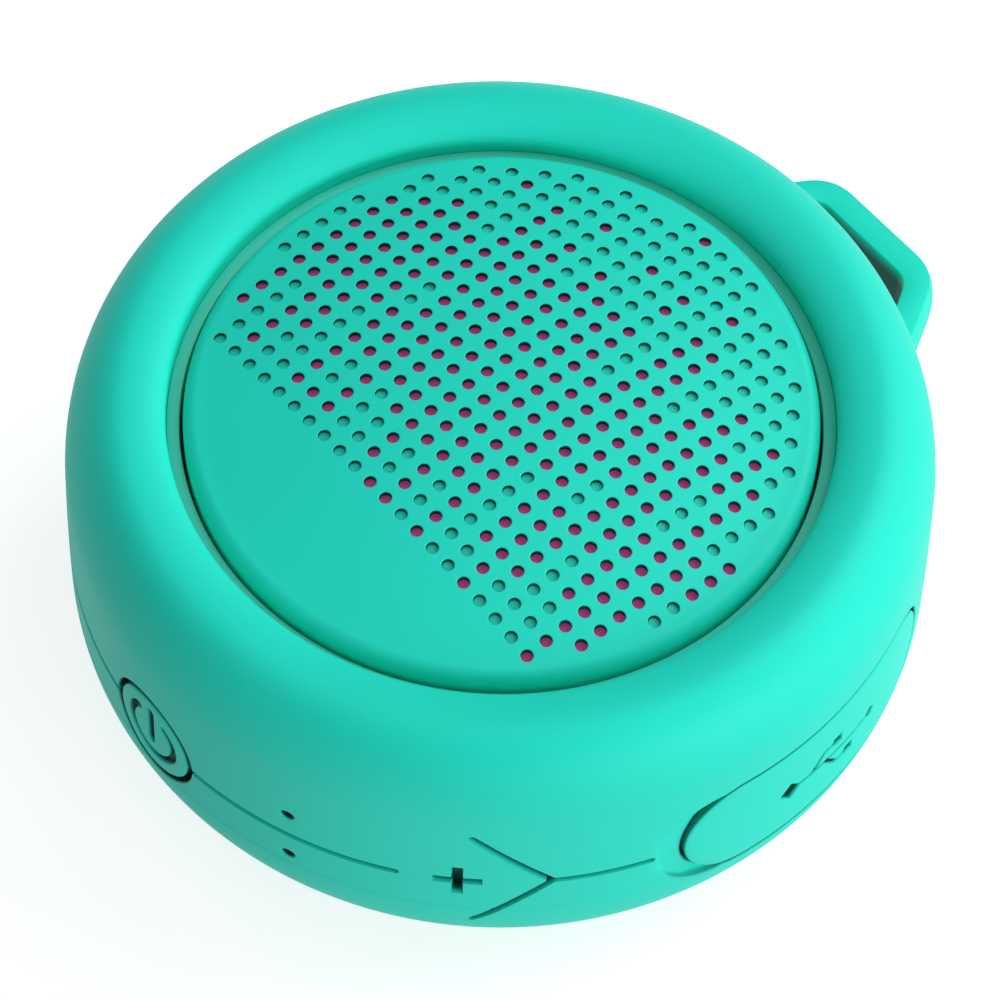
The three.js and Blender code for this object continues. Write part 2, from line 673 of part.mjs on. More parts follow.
function usbConnector() {
  const width = 7.6;
  const [back, mouth] = [32.8, 38.2];
  const half = PORT_HEIGHT - ON_BOARD;
  const shell = radialBox(width, back, mouth, PORT_HEIGHT - half, PORT_HEIGHT + half, PORT_BEARING);
  const cavity = radialBox(6.9, back + 0.8, mouth + 1, PORT_HEIGHT - 0.9, PORT_HEIGHT + 0.9, PORT_BEARING);
  const tongue = radialBox(3.8, back, mouth - 0.8, PORT_HEIGHT + 0.1, PORT_HEIGHT + 0.6, PORT_BEARING);
  return joined(cutBy(shell, cavity), tongue);
}

function statusLed() {
  const height = CONTROL_HEIGHT + PINHOLE_OFFSET;
  const lens = radialLathe([
    [0, 34.6],
    [1.5, 34.6],
    [1.5, 37],
    ...onAxis(arc(0, 37, 1.5, 1.2, 30, 90, 2)),
  ], PINHOLE_BEARING, height, 12);
  const legs = radialBox(1.6, 34.7, 35.3, ON_BOARD, height, PINHOLE_BEARING);
  return joined(lens, legs);
}

function microphone() {
  const height = CONTROL_HEIGHT - PINHOLE_OFFSET;
  return radialRod(1.5, BOARD_OUTER + 0.4, BOARD_OUTER + 1.6, PINHOLE_BEARING, height, 12);
}

function battery() {
  const [x, y] = BATTERY_HALF_SIZE;
  const outline = roundedShape([[-x, -y], [x, -y], [x, y], [-x, y]], BATTERY_CORNER);
  return plate(outline, BATTERY_LOW, BATTERY_HIGH, 3);
}

function batteryPad() {
  const [x, y] = BATTERY_HALF_SIZE;
  const pad = new THREE.BoxGeometry(2 * x - 4, 2 * y - 4, BATTERY_PAD_THICKNESS);
  return solidOf(pad.translate(0, 0, (FLOOR_TOP + BATTERY_LOW) / 2));
}

// ---------------------------------------------------------------- controls and port cover

function powerButton() {
  const capBack = 41.4;
  return radialLathe([
    [0, STEM_END],
    [STEM_RADIUS, STEM_END],
    [STEM_RADIUS, capBack],
    [BUTTON_RADIUS, capBack],
    [BUTTON_RADIUS, BODY_RADIUS - 0.5],
    [BUTTON_RADIUS - 0.5, BODY_RADIUS - 0.15],
    [0, BODY_RADIUS],
  ], POWER_BEARING, CONTROL_HEIGHT, 24);
}

function volumeKey(bearing) {
  const face = SHELL_RADIUS - 0.1;
  return radialLathe([
    [0, STEM_END],
    [STEM_RADIUS, STEM_END],
    [STEM_RADIUS, face - 1.4],
    [KEY_RADIUS, face - 1.4],
    [KEY_RADIUS, face],
    [0, face],
  ], bearing, CONTROL_HEIGHT);
}

function portCover() {
  const flap = wrappedStadium(
    COVER_LEFT, COVER_RIGHT, COVER_HALF_HEIGHT, COVER_INNER_RADIUS, BODY_RADIUS,
  );
  const inner = COVER_INNER_RADIUS - 1.5;
  const plug = radialBox(
    8.2, inner, COVER_INNER_RADIUS + 1, PORT_HEIGHT - 1.8, PORT_HEIGHT + 1.8, PORT_BEARING,
  );
  return joined(flap, plug);
}

// ---------------------------------------------------------------- fasteners and leads

// A pan-head screw that stands at a bearing, its head below or above its shank.
function screw(circle, bearing, headRadius, headLow, headHigh, shankRadius, shankEnd) {
  const head = post(headRadius, headLow, headHigh, circle, bearing, 10);
  const shankLow = Math.min(shankEnd, headLow + 0.1);
  const shankHigh = Math.max(shankEnd, headHigh - 0.1);
  return joined(head, post(shankRadius, shankLow, shankHigh, circle, bearing, 6));
}

function addScrews() {
  CASE_BEARINGS.forEach((bearing, i) => {
    const solid = screw(
      CASE_POST_CIRCLE, bearing, CASE_HEAD_RADIUS, CASE_HEAD_LOW, CASE_HEAD_HIGH,
      CASE_SHANK_RADIUS, CASE_SHANK_TOP,
    );
    addPart(`case_screw_${i + 1}`, solid, steel);
  });
  DRIVER_BEARINGS.forEach((bearing, i) => {
    const seat = FLANGE_HIGH + GAP;
    const solid = screw(
      DRIVER_SCREW_CIRCLE, bearing, 1.5, seat, seat + SMALL_HEAD_HEIGHT,
      SMALL_SHANK_RADIUS, BAFFLE_BOTTOM - 1,
    );
    addPart(`driver_screw_${i + 1}`, solid, steel);
  });
  BOARD_BEARINGS.forEach((bearing, i) => {
    const seat = BOARD_LOW - GAP;
    const solid = screw(
      BOARD_BOSS_CIRCLE, bearing, 1.7, seat - SMALL_HEAD_HEIGHT, seat,
      SMALL_SHANK_RADIUS, BOARD_PILOT_TOP - 0.5,
    );
    addPart(`board_screw_${i + 1}`, solid, steel);
  });
}

function addLeads() {
  const insulation = [["positive", redInsulation, 0], ["negative", blackInsulation, 1]];
  insulation.forEach(([pole, partMaterial, index]) => {
    const batteryY = -8 - 2 * index;
    addPart(`battery_lead_${pole}`, lead([
      [-17.9, batteryY, 8],
      [-20.2, batteryY - 1.2, 8.8],
      [-21.6 + index, -13.4 - 1.6 * index, 11.8],
      [-20.9 + 1.6 * index, -17 - 1.8 * index, 14.7],
    ], 0.55), partMaterial);
    const side = 2 * index - 1;
    addPart(`speaker_lead_${pole}`, lead([
      [-10.9 + 1.1 * side, -15.4 - 0.8 * side, 22],
      [-13 + 1.2 * side, -17.6 - 0.9 * side, 21.4],
      [-15 + 1.2 * side, -20.6 - 0.9 * side, 19.4],
      [-16 + 1.2 * side, -22 - 0.9 * side, 18.2],
    ], 0.5), partMaterial);
  });
}

// ---------------------------------------------------------------- the object

addPart("silicone_sleeve", siliconeSleeve(), silicone);
addPart("foot_pad", footPad(), rubber);
addPart("grille_panel", grillePanel(), tealPlastic);
addPart("grille_ring", grilleRing(), tealPlastic);
addPart("acoustic_cloth", acousticCloth(), cloth);
addPart("upper_housing", upperHousing(), darkPlastic);
addPart("lower_housing", lowerHousing(), darkPlastic);
addPart("case_seal", caseSeal(), rubber);

addPart("driver_frame", driverFrame(), steel);
addPart("driver_top_plate", driverTopPlate(), steel);
addPart("driver_magnet", driverMagnet(), ferrite);
addPart("driver_yoke", driverYoke(), steel);
addPart("voice_coil", voiceCoil(), copper);
addPart("speaker_cone", speakerCone(), paper);
addPart("dust_cap", dustCap(), paper);
addPart("surround", surround(), rubber);
addPart("spider", spider(), foam);
addPart("driver_terminals", radialBox(6, 16.7, 17.7, 20.6, 24.2, -35), laminate);

addPart("main_board", mainBoard(), laminate);
addPart("bluetooth_module", radialBox(12, 26, 35, ON_BOARD, ON_BOARD + 2, 104), foil);
addPart("amplifier_chip", radialBox(5, 29, 34, ON_BOARD, ON_BOARD + 1, 60), ferrite);
addPart("usb_connector", usbConnector(), steel);
addPart("status_led", statusLed(), foam);
addPart("microphone", microphone(), foil);
addPart("battery", battery(), foil);
addPart("battery_pad", batteryPad(), foam);

addPart("power_button", powerButton(), silicone);
addPart("power_switch", tactSwitch(POWER_BEARING), darkPlastic);
addPart("power_switch_stem", switchStem(POWER_BEARING), darkPlastic);
addPart("volume_up_key", volumeKey(VOLUME_BEARING), tealPlastic);
addPart("volume_up_switch", tactSwitch(VOLUME_BEARING), darkPlastic);
addPart("volume_up_switch_stem", switchStem(VOLUME_BEARING), darkPlastic);
addPart("volume_down_key", volumeKey(-VOLUME_BEARING), tealPlastic);
addPart("volume_down_switch", tactSwitch(-VOLUME_BEARING), darkPlastic);
addPart("volume_down_switch_stem", switchStem(-VOLUME_BEARING), darkPlastic);
addPart("port_cover", portCover(), silicone);

addScrews();
addLeads();

export default speaker;
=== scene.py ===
"""A round portable Bluetooth speaker in a turquoise silicone sleeve, seen from above its port side.

Lengths are in millimetres until a mesh is made, and +Z is up. A bearing is measured round the body
from the front (-Y), growing towards +X, and an arc is a bearing times the body's radius.
"""

import json
import math

import bmesh
import bpy
import numpy as np
from mathutils import Matrix, Vector
from mathutils.geometry import delaunay_2d_cdt


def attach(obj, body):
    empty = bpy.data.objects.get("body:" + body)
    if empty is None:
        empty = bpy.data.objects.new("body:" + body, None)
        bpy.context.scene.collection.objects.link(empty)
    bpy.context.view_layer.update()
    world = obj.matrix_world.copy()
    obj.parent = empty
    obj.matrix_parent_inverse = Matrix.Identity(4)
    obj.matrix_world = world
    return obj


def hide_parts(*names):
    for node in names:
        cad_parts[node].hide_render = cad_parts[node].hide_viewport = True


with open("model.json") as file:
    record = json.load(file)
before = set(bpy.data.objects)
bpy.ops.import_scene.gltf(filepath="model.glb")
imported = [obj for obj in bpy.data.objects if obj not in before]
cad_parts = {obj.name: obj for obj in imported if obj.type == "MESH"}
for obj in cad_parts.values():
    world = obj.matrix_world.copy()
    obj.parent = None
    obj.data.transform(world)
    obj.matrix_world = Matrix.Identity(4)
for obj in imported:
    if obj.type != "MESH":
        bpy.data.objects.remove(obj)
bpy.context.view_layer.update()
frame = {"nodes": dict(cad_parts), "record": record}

MM = 0.001

# ---- driving dimensions

# Body of the sleeve, as radii and heights.
BODY_RADIUS = 43.0
BAND_LOW = 15.0
BAND_HIGH = 29.5
BAND_HIGH_RADIUS = 42.7
CREST_RADIUS = 36.6
CREST_HEIGHT = 39.0
LIP_RADIUS = 32.6
LIP_HEIGHT = 37.3
UNDERSIDE_RADIUS = 29.1
UNDERSIDE_HEIGHT = 0.4
SKIN = 2.2
FLOOR_HOLE_RADIUS = 24.6
SHOULDER_RADIUS = 38.5
SHOULDER_HEIGHT = 33.7
CARVED_LOW = 11.5  # the carved part of the band runs between these two heights
CARVED_HIGH = 29.3
RING_COLUMNS = 256
CARVED_ROWS = 19
SKIN_CREASE = 32.0  # edges sharper than this many degrees stay sharp

# Marks pressed into the sleeve.
CONTROL_HEIGHT = 20.1
GROOVE_WIDTH = 0.62
GROOVE_DEPTH = 1.25
PARTING_HEIGHT = 15.0
PARTING_DEPTH = 0.06
POWER_BEARING = -1.2
BUTTON_HOLE = 5.95
BUTTON_RADIUS = 5.3
GROOVE_END = 37.0
PINHOLE_BEARING = 22.3
PINHOLE_OFFSET = 3.6
PINHOLE_RADIUS = 0.55
PINHOLE_STRETCH = 1.2
VOLUME_BEARING = 45.0
SIGN_SPAN = 2.35
SIGN_BAR = 0.5
FORK_START = 35.15
FORK_JOIN = 42.9
FORK_SPREAD = 7.75
FORK_TAIL = 52.6

# Port cover, its plug and its thumb recess, laid out along the circumference.
COVER_LEFT = 56.1
COVER_RIGHT = 91.7
COVER_HALF_HEIGHT = 6.75
COVER_GAP = 0.38
COVER_INNER_RADIUS = 41.1
FORK_SIGN_DEPTH = 0.6
PORT_BEARING = 84.0
PORT_HEIGHT = 18.7
PLUG_WIDTH = 8.2
PLUG_HEIGHT = 3.6
PLUG_LENGTH = 1.5
PLUG_CORNER = 1.7
RECESS_LEFT = 53.2
RECESS_SHALLOW = 0.35
RECESS_DEEP = 0.7

# Power button, and the soft edge that it shares with the port cover.
BUTTON_INNER_RADIUS = 41.4
POWER_SIGN_DEPTH = 0.65
STEM_TIP_RADIUS = 38.3
STEM_RADIUS = 1.3
LID_EDGE = 0.26
LID_CREASE = 40.0

# Strap loop, seen from above.
LOOP_THICKNESS = 6.4
LOOP_REACH = 51.7
LOOP_OUTER_HALF = 7.9
LOOP_ROOT_HALF = 17.2
LOOP_ROOT_Y = 36.0
SLOT_OUTER_HALF = 6.5
SLOT_ROOT_HALF = 12.9
SLOT_ROOT_Y = 38.6
LOOP_WALL = 3.0
LOOP_CORNER = 3.0
LOOP_BULGE = 0.45

# Grille.
GRILLE_APEX = 40.8
GRILLE_DOME = 0.00372
GRILLE_RADIUS = 30.95
GRILLE_ROLL = 1.55
GRILLE_THICKNESS = 0.58
GRILLE_RIM_WIDTH = 1.05
GRILLE_COLUMNS = 192
CLOTH_GAP = 0.24
CLOTH_THICKNESS = 0.25
CLOTH_RADIUS = 29.2
GRILLE_SEAT = 33.7
RING_GAP = 0.35
RING_TOP = 35.6
HOLE_PITCH = 2.34
HOLE_RADIUS = 0.62
HOLE_EDGE_DEPTH = 0.09
DIMPLE_DEPTH = 0.45
PATTERN_REACH = 151  # the square of how many pitches the pattern reaches from the centre
PATTERN_LOWEST_ROW = -7
# Each column of holes is open from one row to another, like a bar of a level meter.
FIRST_COLUMN = -11
OPEN_ROWS = [
    (3, -5), (4, -2), (5, -6), (5, -4), (4, -1), (8, -6), (6, -3), (7, -6),
    (5, -3), (7, -4), (6, -6), (6, -4), (6, -7), (3, -4), (5, -7), (8, -1),
    (4, -5), (6, -7), (7, -5), (5, -2), (7, -4), (5, -7), (1, -5), (2, 0),
]
# Single places, as (column, row), that are open beyond the bars or blind within them.
LONE_OPEN = {
    (-8, 8), (-5, -6), (-4, 9), (-1, 9), (-1, 12), (0, -7), (1, 8), (1, 9),
    (3, 6), (3, 7), (3, 8), (3, 10),
}
LONE_BLIND = {(-6, 0), (-6, 1), (6, -1), (6, 0), (9, 1), (9, 2), (9, 3)}

# Foot.
FOOT_RADIUS = 24.2
FOOT_THICKNESS = 1.6
FOOT_RIDGES = 6
FOOT_FIRST_RIDGE = 8.6
FOOT_RIDGE_PITCH = 2.6
FOOT_RIDGE_HEIGHT = 0.35

# Camera, as an orbit round the apex of the grille.
CAMERA_AZIMUTH = 48.96
CAMERA_ELEVATION = 56.68
CAMERA_ROLL = 1.68
CAMERA_DISTANCE = 457.9
CAMERA_SIDE = 0.07
CAMERA_RISE = -10.93
CAMERA_LENS = 171.2


# ---- flat shapes as distances

def to_segment(x, y, start, end):
    """Distance from each point to a straight line between two points."""
    (ax, ay), (bx, by) = start, end
    length = (bx - ax) ** 2 + (by - ay) ** 2
    t = np.clip(((x - ax) * (bx - ax) + (y - ay) * (by - ay)) / length, 0, 1)
    return np.hypot(x - ax - t * (bx - ax), y - ay - t * (by - ay))


def to_box(x, y, centre, half_width, half_height, turn=0.0):
    """Signed distance to a rectangle, negative inside."""
    angle = math.radians(turn)
    dx, dy = x - centre[0], y - centre[1]
    u = np.abs(dx * math.cos(angle) + dy * math.sin(angle)) - half_width
    v = np.abs(dy * math.cos(angle) - dx * math.sin(angle)) - half_height
    outside = np.hypot(np.maximum(u, 0), np.maximum(v, 0))
    return outside + np.minimum(np.maximum(u, v), 0)


def to_stadium(x, y, left, right, half_height):
    """Signed distance to a long rounded shape centred on the control line."""
    start = (left + half_height, CONTROL_HEIGHT)
    end = (right - half_height, CONTROL_HEIGHT)
    return to_segment(x, y, start, end) - half_height


def to_arc(x, y, centre, radius, gap_half_angle):
    """Distance to a circle that is open at the top by an angle to each side."""
    dx, dy = x - centre[0], y - centre[1]
    angle = np.arctan2(dx, dy)
    on_arc = np.abs(np.hypot(dx, dy) - radius)
    gap = math.radians(gap_half_angle)
    ends = [
        np.hypot(dx - side * radius * math.sin(gap), dy - radius * math.cos(gap))
        for side in (-1, 1)
    ]
    return np.where(np.abs(angle) > gap, on_arc, np.minimum(*ends))


def nearest(*distances):
    return np.minimum.reduce(distances)


def smooth_step(t):
    """A soft step from 0 to 1. Marks use it to fade over a given width in millimetres."""
    t = np.clip(t, 0, 1)
    return t * t * (3 - 2 * t)


# ---- contours and triangulation

def contour(distance, xs, ys, level):
    """Points and edges where a field on a grid crosses a level (marching squares)."""
    field = distance - level
    field = np.where(field == 0, 1e-9, field)
    rows, columns = field.shape
    across = -np.ones((rows, columns), int)
    upward = -np.ones((rows, columns), int)
    i, j = np.nonzero(field[:, :-1] * field[:, 1:] < 0)
    t = field[i, j] / (field[i, j] - field[i, j + 1])
    across[i, j] = np.arange(len(i))
    points = [np.column_stack([xs[j] + t * (xs[j + 1] - xs[j]), ys[i]])]
    first = len(i)
    i, j = np.nonzero(field[:-1] * field[1:] < 0)
    t = field[i, j] / (field[i, j] - field[i + 1, j])
    upward[i, j] = first + np.arange(len(i))
    points.append(np.column_stack([xs[j], ys[i] + t * (ys[i + 1] - ys[i])]))
    sides = np.stack([across[:-1, :-1], across[1:, :-1], upward[:-1, :-1], upward[:-1, 1:]], -1)
    sides = sides.reshape(-1, 4)
    count = (sides >= 0).sum(1)
    plain = np.sort(sides[count == 2], 1)[:, 2:]
    saddle = sides[count == 4]
    edges = np.concatenate([plain, saddle[:, [0, 2]], saddle[:, [1, 3]]])
    return without_short_edges(np.concatenate(points), edges, 0.3 * (xs[1] - xs[0]))


def without_short_edges(points, edges, shortest):
    """The same outline with the ends of its very short edges merged."""
    merged = np.arange(len(points))
    lengths = np.linalg.norm(points[edges[:, 0]] - points[edges[:, 1]], axis=1)
    taken = np.zeros(len(points), bool)
    for a, b in edges[lengths < shortest]:
        if not taken[a] and not taken[b]:
            merged[b] = a
            taken[a] = taken[b] = True
    edges = merged[edges]
    edges = edges[edges[:, 0] != edges[:, 1]]
    used, compact = np.unique(edges, return_inverse=True)
    return points[used], compact.reshape(-1, 2)


class Layout:
    """Points and edges that a flat triangulation keeps."""

    def __init__(self):
        self.points = []
        self.edges = []
        self.count = 0

    def add(self, points, edges=()):
        points = np.asarray(points, float).reshape(-1, 2)
        edges = np.asarray(edges, int).reshape(-1, 2)
        self.points.append(points)
        self.edges.append(edges + self.count)
        self.count += len(points)

    def add_loop(self, points):
        n = len(points)
        self.add(points, [(k, (k + 1) % n) for k in range(n)])

    def add_contours(self, distance, xs, ys, levels):
        """Adds the lines along which distance(x, y) has each of the levels."""
        field = distance(*np.meshgrid(xs, ys))
        for level in levels:
            self.add(*contour(field, xs, ys, level))

    def triangulated(self, keep):
        """Points and triangles, with only the triangles whose centre passes keep(x, y)."""
        points = [Vector(p) for p in np.concatenate(self.points)]
        edges = np.concatenate(self.edges).tolist()
        made = delaunay_2d_cdt(points, edges, [], 0, 1e-4)
        flat = np.array([p[:] for p in made[0]])
        triangles = np.array(made[2])
        corners = flat[triangles]
        u, v = corners[:, 1] - corners[:, 0], corners[:, 2] - corners[:, 0]
        turned = u[:, 0] * v[:, 1] - u[:, 1] * v[:, 0] < 0
        triangles[turned] = triangles[turned][:, ::-1]
        centres = corners.mean(1)
        triangles = triangles[keep(centres[:, 0], centres[:, 1])]
        used, compact = np.unique(triangles, return_inverse=True)
        return flat[used], compact.reshape(-1, 3)


def tracing_grid(left, right, low, high):
    """Columns and rows to trace contours on, shifted so that none runs along a straight edge."""
    step = 0.1
    return np.arange(left, right, step) + 0.013, np.arange(low, high, step) + 0.017


def grid_points(xs, ys, keep):
    """The points of a grid that pass keep(x, y)."""
    x, y = (axis.ravel() for axis in np.meshgrid(xs, ys))
    chosen = keep(x, y)
    return np.column_stack([x[chosen], y[chosen]])


def open_edges(triangles):
    """Directed edges that only one triangle has."""
    edges = np.concatenate([triangles[:, [0, 1]], triangles[:, [1, 2]], triangles[:, [2, 0]]])
    known = set(map(tuple, edges.tolist()))
    return [(a, b) for a, b in known if (b, a) not in known]


def backing(flat, rims, loops, points, keep):
    """A plain layer behind a carved one that shares its rims, and the walls between the two.

    The walls number the carved layer's points first and the plain layer's after them.
    """
    rim_points = sorted({end for edge in rims for end in edge})
    place = {p: i for i, p in enumerate(rim_points)}
    layout = Layout()
    layout.add(flat[rim_points], [(place[a], place[b]) for a, b in rims])
    for loop in loops:
        layout.add_loop(loop)
    layout.add(points)
    back, triangles = layout.triangulated(keep)
    found = {tuple(np.round(p, 3)): len(flat) + i for i, p in enumerate(back)}
    walls = []
    for a, b in rims:
        c, d = (found[tuple(np.round(flat[k], 3))] for k in (b, a))
        walls.append((b, a, d, c))
    return back, triangles, walls


# ---- mesh helpers

def arc_at(bearing):
    """Arc length round the body from the front to a bearing."""
    return math.radians(bearing) * BODY_RADIUS


def wrapped(arcs, radii, heights):
    """Points on the body from arc lengths, radii and heights."""
    angles, radii, heights = np.broadcast_arrays(np.asarray(arcs) / BODY_RADIUS, radii, heights)
    return np.column_stack([radii * np.sin(angles), -radii * np.cos(angles), heights])


def mesh_piece(name, vertices, faces, crease=35.0, weld=0.0):
    """An object from points in millimetres, smooth apart from its sharp edges."""
    mesh = bpy.data.meshes.new(name)
    mesh.from_pydata((np.asarray(vertices) * MM).tolist(), [], [list(map(int, f)) for f in faces])
    piece = bpy.data.objects.new(name, mesh)
    bpy.context.collection.objects.link(piece)
    tidy_mesh(piece, crease, weld)
    return piece


def tidy_mesh(piece, crease=35.0, weld=0.0):
    """Faces turned outwards and shaded smooth, apart from edges sharper than the crease angle."""
    mesh = piece.data
    work = bmesh.new()
    work.from_mesh(mesh)
    if weld:
        bmesh.ops.remove_doubles(work, verts=work.verts, dist=weld * MM)
    bmesh.ops.recalc_face_normals(work, faces=work.faces)
    work.to_mesh(mesh)
    work.free()
    mesh.validate()
    mesh.shade_smooth()
    mesh.set_sharp_from_angle(angle=math.radians(crease))
    mesh.update()


class Shell:
    """The points and faces of one closed piece, collected part by part."""

    def __init__(self):
        self.points = []
        self.faces = []
        self.count = 0

    def add(self, points, faces=()):
        """Adds points, and faces that number them from 0. Returns the first one's number."""
        start = self.count
        self.points.append(points)
        self.faces += [tuple(start + k for k in face) for face in faces]
        self.count += len(points)
        return start

    def add_rings(self, rings):
        """Adds rings of as many points each, with a band of faces between every two."""
        n = len(rings[0])
        bands = []
        for low in range(0, n * (len(rings) - 1), n):
            for k in range(n):
                following = (k + 1) % n
                bands.append((low + k, low + following, low + n + following, low + n + k))
        return self.add(np.concatenate(rings), bands)

    def piece(self, name, crease, weld=0.0):
        return mesh_piece(name, np.concatenate(self.points), self.faces, crease, weld)


def store_painted_shade(piece, field):
    """Stores painted shade: how far each point lies inside a groove, a hole or a sign, for the
    material to darken there.

    The field takes unrolled arcs, heights and radii in millimetres.
    """
    mesh = piece.data
    points = np.empty(3 * len(mesh.vertices))
    mesh.vertices.foreach_get("co", points)
    x, y, z = points.reshape(-1, 3).T / MM
    amount = field(np.arctan2(x, -y) * BODY_RADIUS, z, np.hypot(x, y))
    # the stored values are painted shade, which the material multiplies into the base colour
    stored = mesh.attributes.new("painted_shade", "FLOAT", "POINT")
    stored.data.foreach_set("value", amount.astype(np.float32))


def turned_piece(name, profile, columns=RING_COLUMNS, crease=35.0, closed=False):
    """A profile of (radius, height) points turned round the vertical axis."""
    angles = np.linspace(0, 2 * math.pi, columns, endpoint=False)
    vertices, starts = [], []
    for r, z in profile:
        starts.append(len(vertices))
        if r == 0:
            vertices.append((0, 0, z))
        else:
            vertices.extend((r * math.sin(a), -r * math.cos(a), z) for a in angles)
    faces = []
    pairs = list(zip(range(len(profile)), range(1, len(profile))))
    if closed:
        pairs.append((len(profile) - 1, 0))
    for a, b in pairs:
        for k in range(columns):
            n = (k + 1) % columns
            low = [starts[a]] if profile[a][0] == 0 else [starts[a] + n, starts[a] + k]
            high = [starts[b]] if profile[b][0] == 0 else [starts[b] + k, starts[b] + n]
            faces.append(low + high)
    return mesh_piece(name, vertices, faces, crease)


def arc_points(centre_r, centre_z, semi_r, semi_z, start, end, steps):
    """Points along an ellipse's arc, between two angles in degrees."""
    angles = np.radians(np.linspace(start, end, steps + 1))
    return [(centre_r + semi_r * math.cos(a), centre_z + semi_z * math.sin(a)) for a in angles]


def boolean(piece, tool, operation):
    """Applies one exact boolean and removes the tool."""
    modifier = piece.modifiers.new("boolean", "BOOLEAN")
    modifier.operation = operation
    modifier.solver = "EXACT"
    modifier.object = tool
    graph = bpy.context.evaluated_depsgraph_get()
    result = bpy.data.meshes.new_from_object(piece.evaluated_get(graph))
    piece.modifiers.clear()
    piece.data = result
    bpy.data.objects.remove(tool)


# ---- sleeve

def body_radius(heights):
    """Outside radius of the body at heights between the underside and the shoulder."""
    heights = np.asarray(heights, float)
    low = np.clip((BAND_LOW - heights) / (BAND_LOW - UNDERSIDE_HEIGHT), 0, 1)
    lower = UNDERSIDE_RADIUS + (BODY_RADIUS - UNDERSIDE_RADIUS) * np.sqrt(1 - low * low)
    share = np.clip((heights - BAND_LOW) / (BAND_HIGH - BAND_LOW), 0, 1)
    band = BODY_RADIUS + (BAND_HIGH_RADIUS - BODY_RADIUS) * share * share
    return np.where(heights < BAND_LOW, lower, band)


def inner_radius(heights):
    """Radius of the sleeve's inside, which follows the outside a skin's thickness in."""
    heights = np.asarray(heights, float)
    low = np.clip((BAND_LOW - heights) / (BAND_LOW - UNDERSIDE_HEIGHT - SKIN), 0, 1)
    reach = BODY_RADIUS - UNDERSIDE_RADIUS - SKIN
    return UNDERSIDE_RADIUS + reach * np.sqrt(1 - low * low)


def groove_distance(s, z):
    """Signed distance to every groove and sign pressed into the sleeve."""
    line = CONTROL_HEIGHT
    sign = arc_at(VOLUME_BEARING)
    groove = GROOVE_WIDTH / 2
    shapes = [to_box(s, z, (sign, line), SIGN_BAR, SIGN_SPAN)]
    for side in (-1, 1):
        join = (side * FORK_JOIN, line)
        upper = (side * FORK_START, line + FORK_SPREAD)
        lower = (side * FORK_START, line - FORK_SPREAD)
        middle = (side * arc_at(GROOVE_END), line)
        shapes += [
            to_segment(s, z, (arc_at(POWER_BEARING), line), middle) - groove,
            to_segment(s, z, upper, join) - 1.2 * groove,
            to_segment(s, z, lower, join) - groove,
            to_segment(s, z, join, (side * FORK_TAIL, line)) - groove,
            to_box(s, z, (side * sign, line), SIGN_SPAN, 0.9 * SIGN_BAR),
        ]
    return nearest(*shapes)


def hole_distance(s, z):
    """Signed distance to everything that goes right through the sleeve's side."""
    left, right = COVER_LEFT - COVER_GAP, COVER_RIGHT + COVER_GAP
    button = np.hypot(s - arc_at(POWER_BEARING), z - CONTROL_HEIGHT) - BUTTON_HOLE
    port = to_stadium(s, z, left, right, COVER_HALF_HEIGHT + COVER_GAP)
    across = (s - arc_at(PINHOLE_BEARING)) / PINHOLE_STRETCH
    pinholes = [
        np.hypot(across, z - CONTROL_HEIGHT - side * PINHOLE_OFFSET) - PINHOLE_RADIUS
        for side in (-1, 1)
    ]
    return nearest(button, port, *pinholes)


def recess_distance(s, z):
    """Signed distance to the thumb recess at the near end of the port cover."""
    right = COVER_LEFT + 2.6 * COVER_HALF_HEIGHT
    return to_stadium(s, z, RECESS_LEFT, right, COVER_HALF_HEIGHT)


def outside_holes(s, z):
    return hole_distance(s, z) > 0


def pressed_depth(s, z):
    """How far the sleeve's surface lies under the plain body."""
    groove = GROOVE_DEPTH * smooth_step((0.1 - groove_distance(s, z)) / 0.26)
    hole = 0.22 * smooth_step((0.22 - hole_distance(s, z)) / 0.26) ** 2
    share = np.clip((s - RECESS_LEFT) / (COVER_LEFT + 1.0 - RECESS_LEFT), 0, 1)
    floor = RECESS_SHALLOW + (RECESS_DEEP - RECESS_SHALLOW) * share * share
    fade = 1 - smooth_step((s - COVER_LEFT - 4.5) / 8.0)
    recess = floor * fade * smooth_step((0.1 - recess_distance(s, z)) / 0.4)
    parting = PARTING_DEPTH * smooth_step((0.16 - np.abs(z - PARTING_HEIGHT)) / 0.12)
    return np.maximum.reduce([groove, hole, recess, parting])


def clear_of_marks(s, z):
    """Whether points lie well away from the lines traced round the marks."""
    gaps = (
        groove_distance(s, z) - 0.05,
        hole_distance(s, z) - 0.1,
        recess_distance(s, z),
        z - PARTING_HEIGHT,
    )
    return nearest(*np.abs(gaps)) > 0.3


def on_recess_floor(s, z):
    return (recess_distance(s, z) < -0.4) & (hole_distance(s, z) > 0.35)


def border_loop(columns, rows):
    """The outline of a rectangle, with a point at every column and row."""
    loop = [(s, rows[0]) for s in columns] + [(columns[-1], z) for z in rows[1:]]
    loop += [(s, rows[-1]) for s in columns[-2::-1]]
    return loop + [(columns[0], z) for z in rows[-2:0:-1]]


def on_border(point, columns, rows):
    to_side = min(abs(point[0] - columns[0]), abs(point[0] - columns[-1]))
    to_end = min(abs(point[1] - rows[0]), abs(point[1] - rows[-1]))
    return min(to_side, to_end) < 1e-3


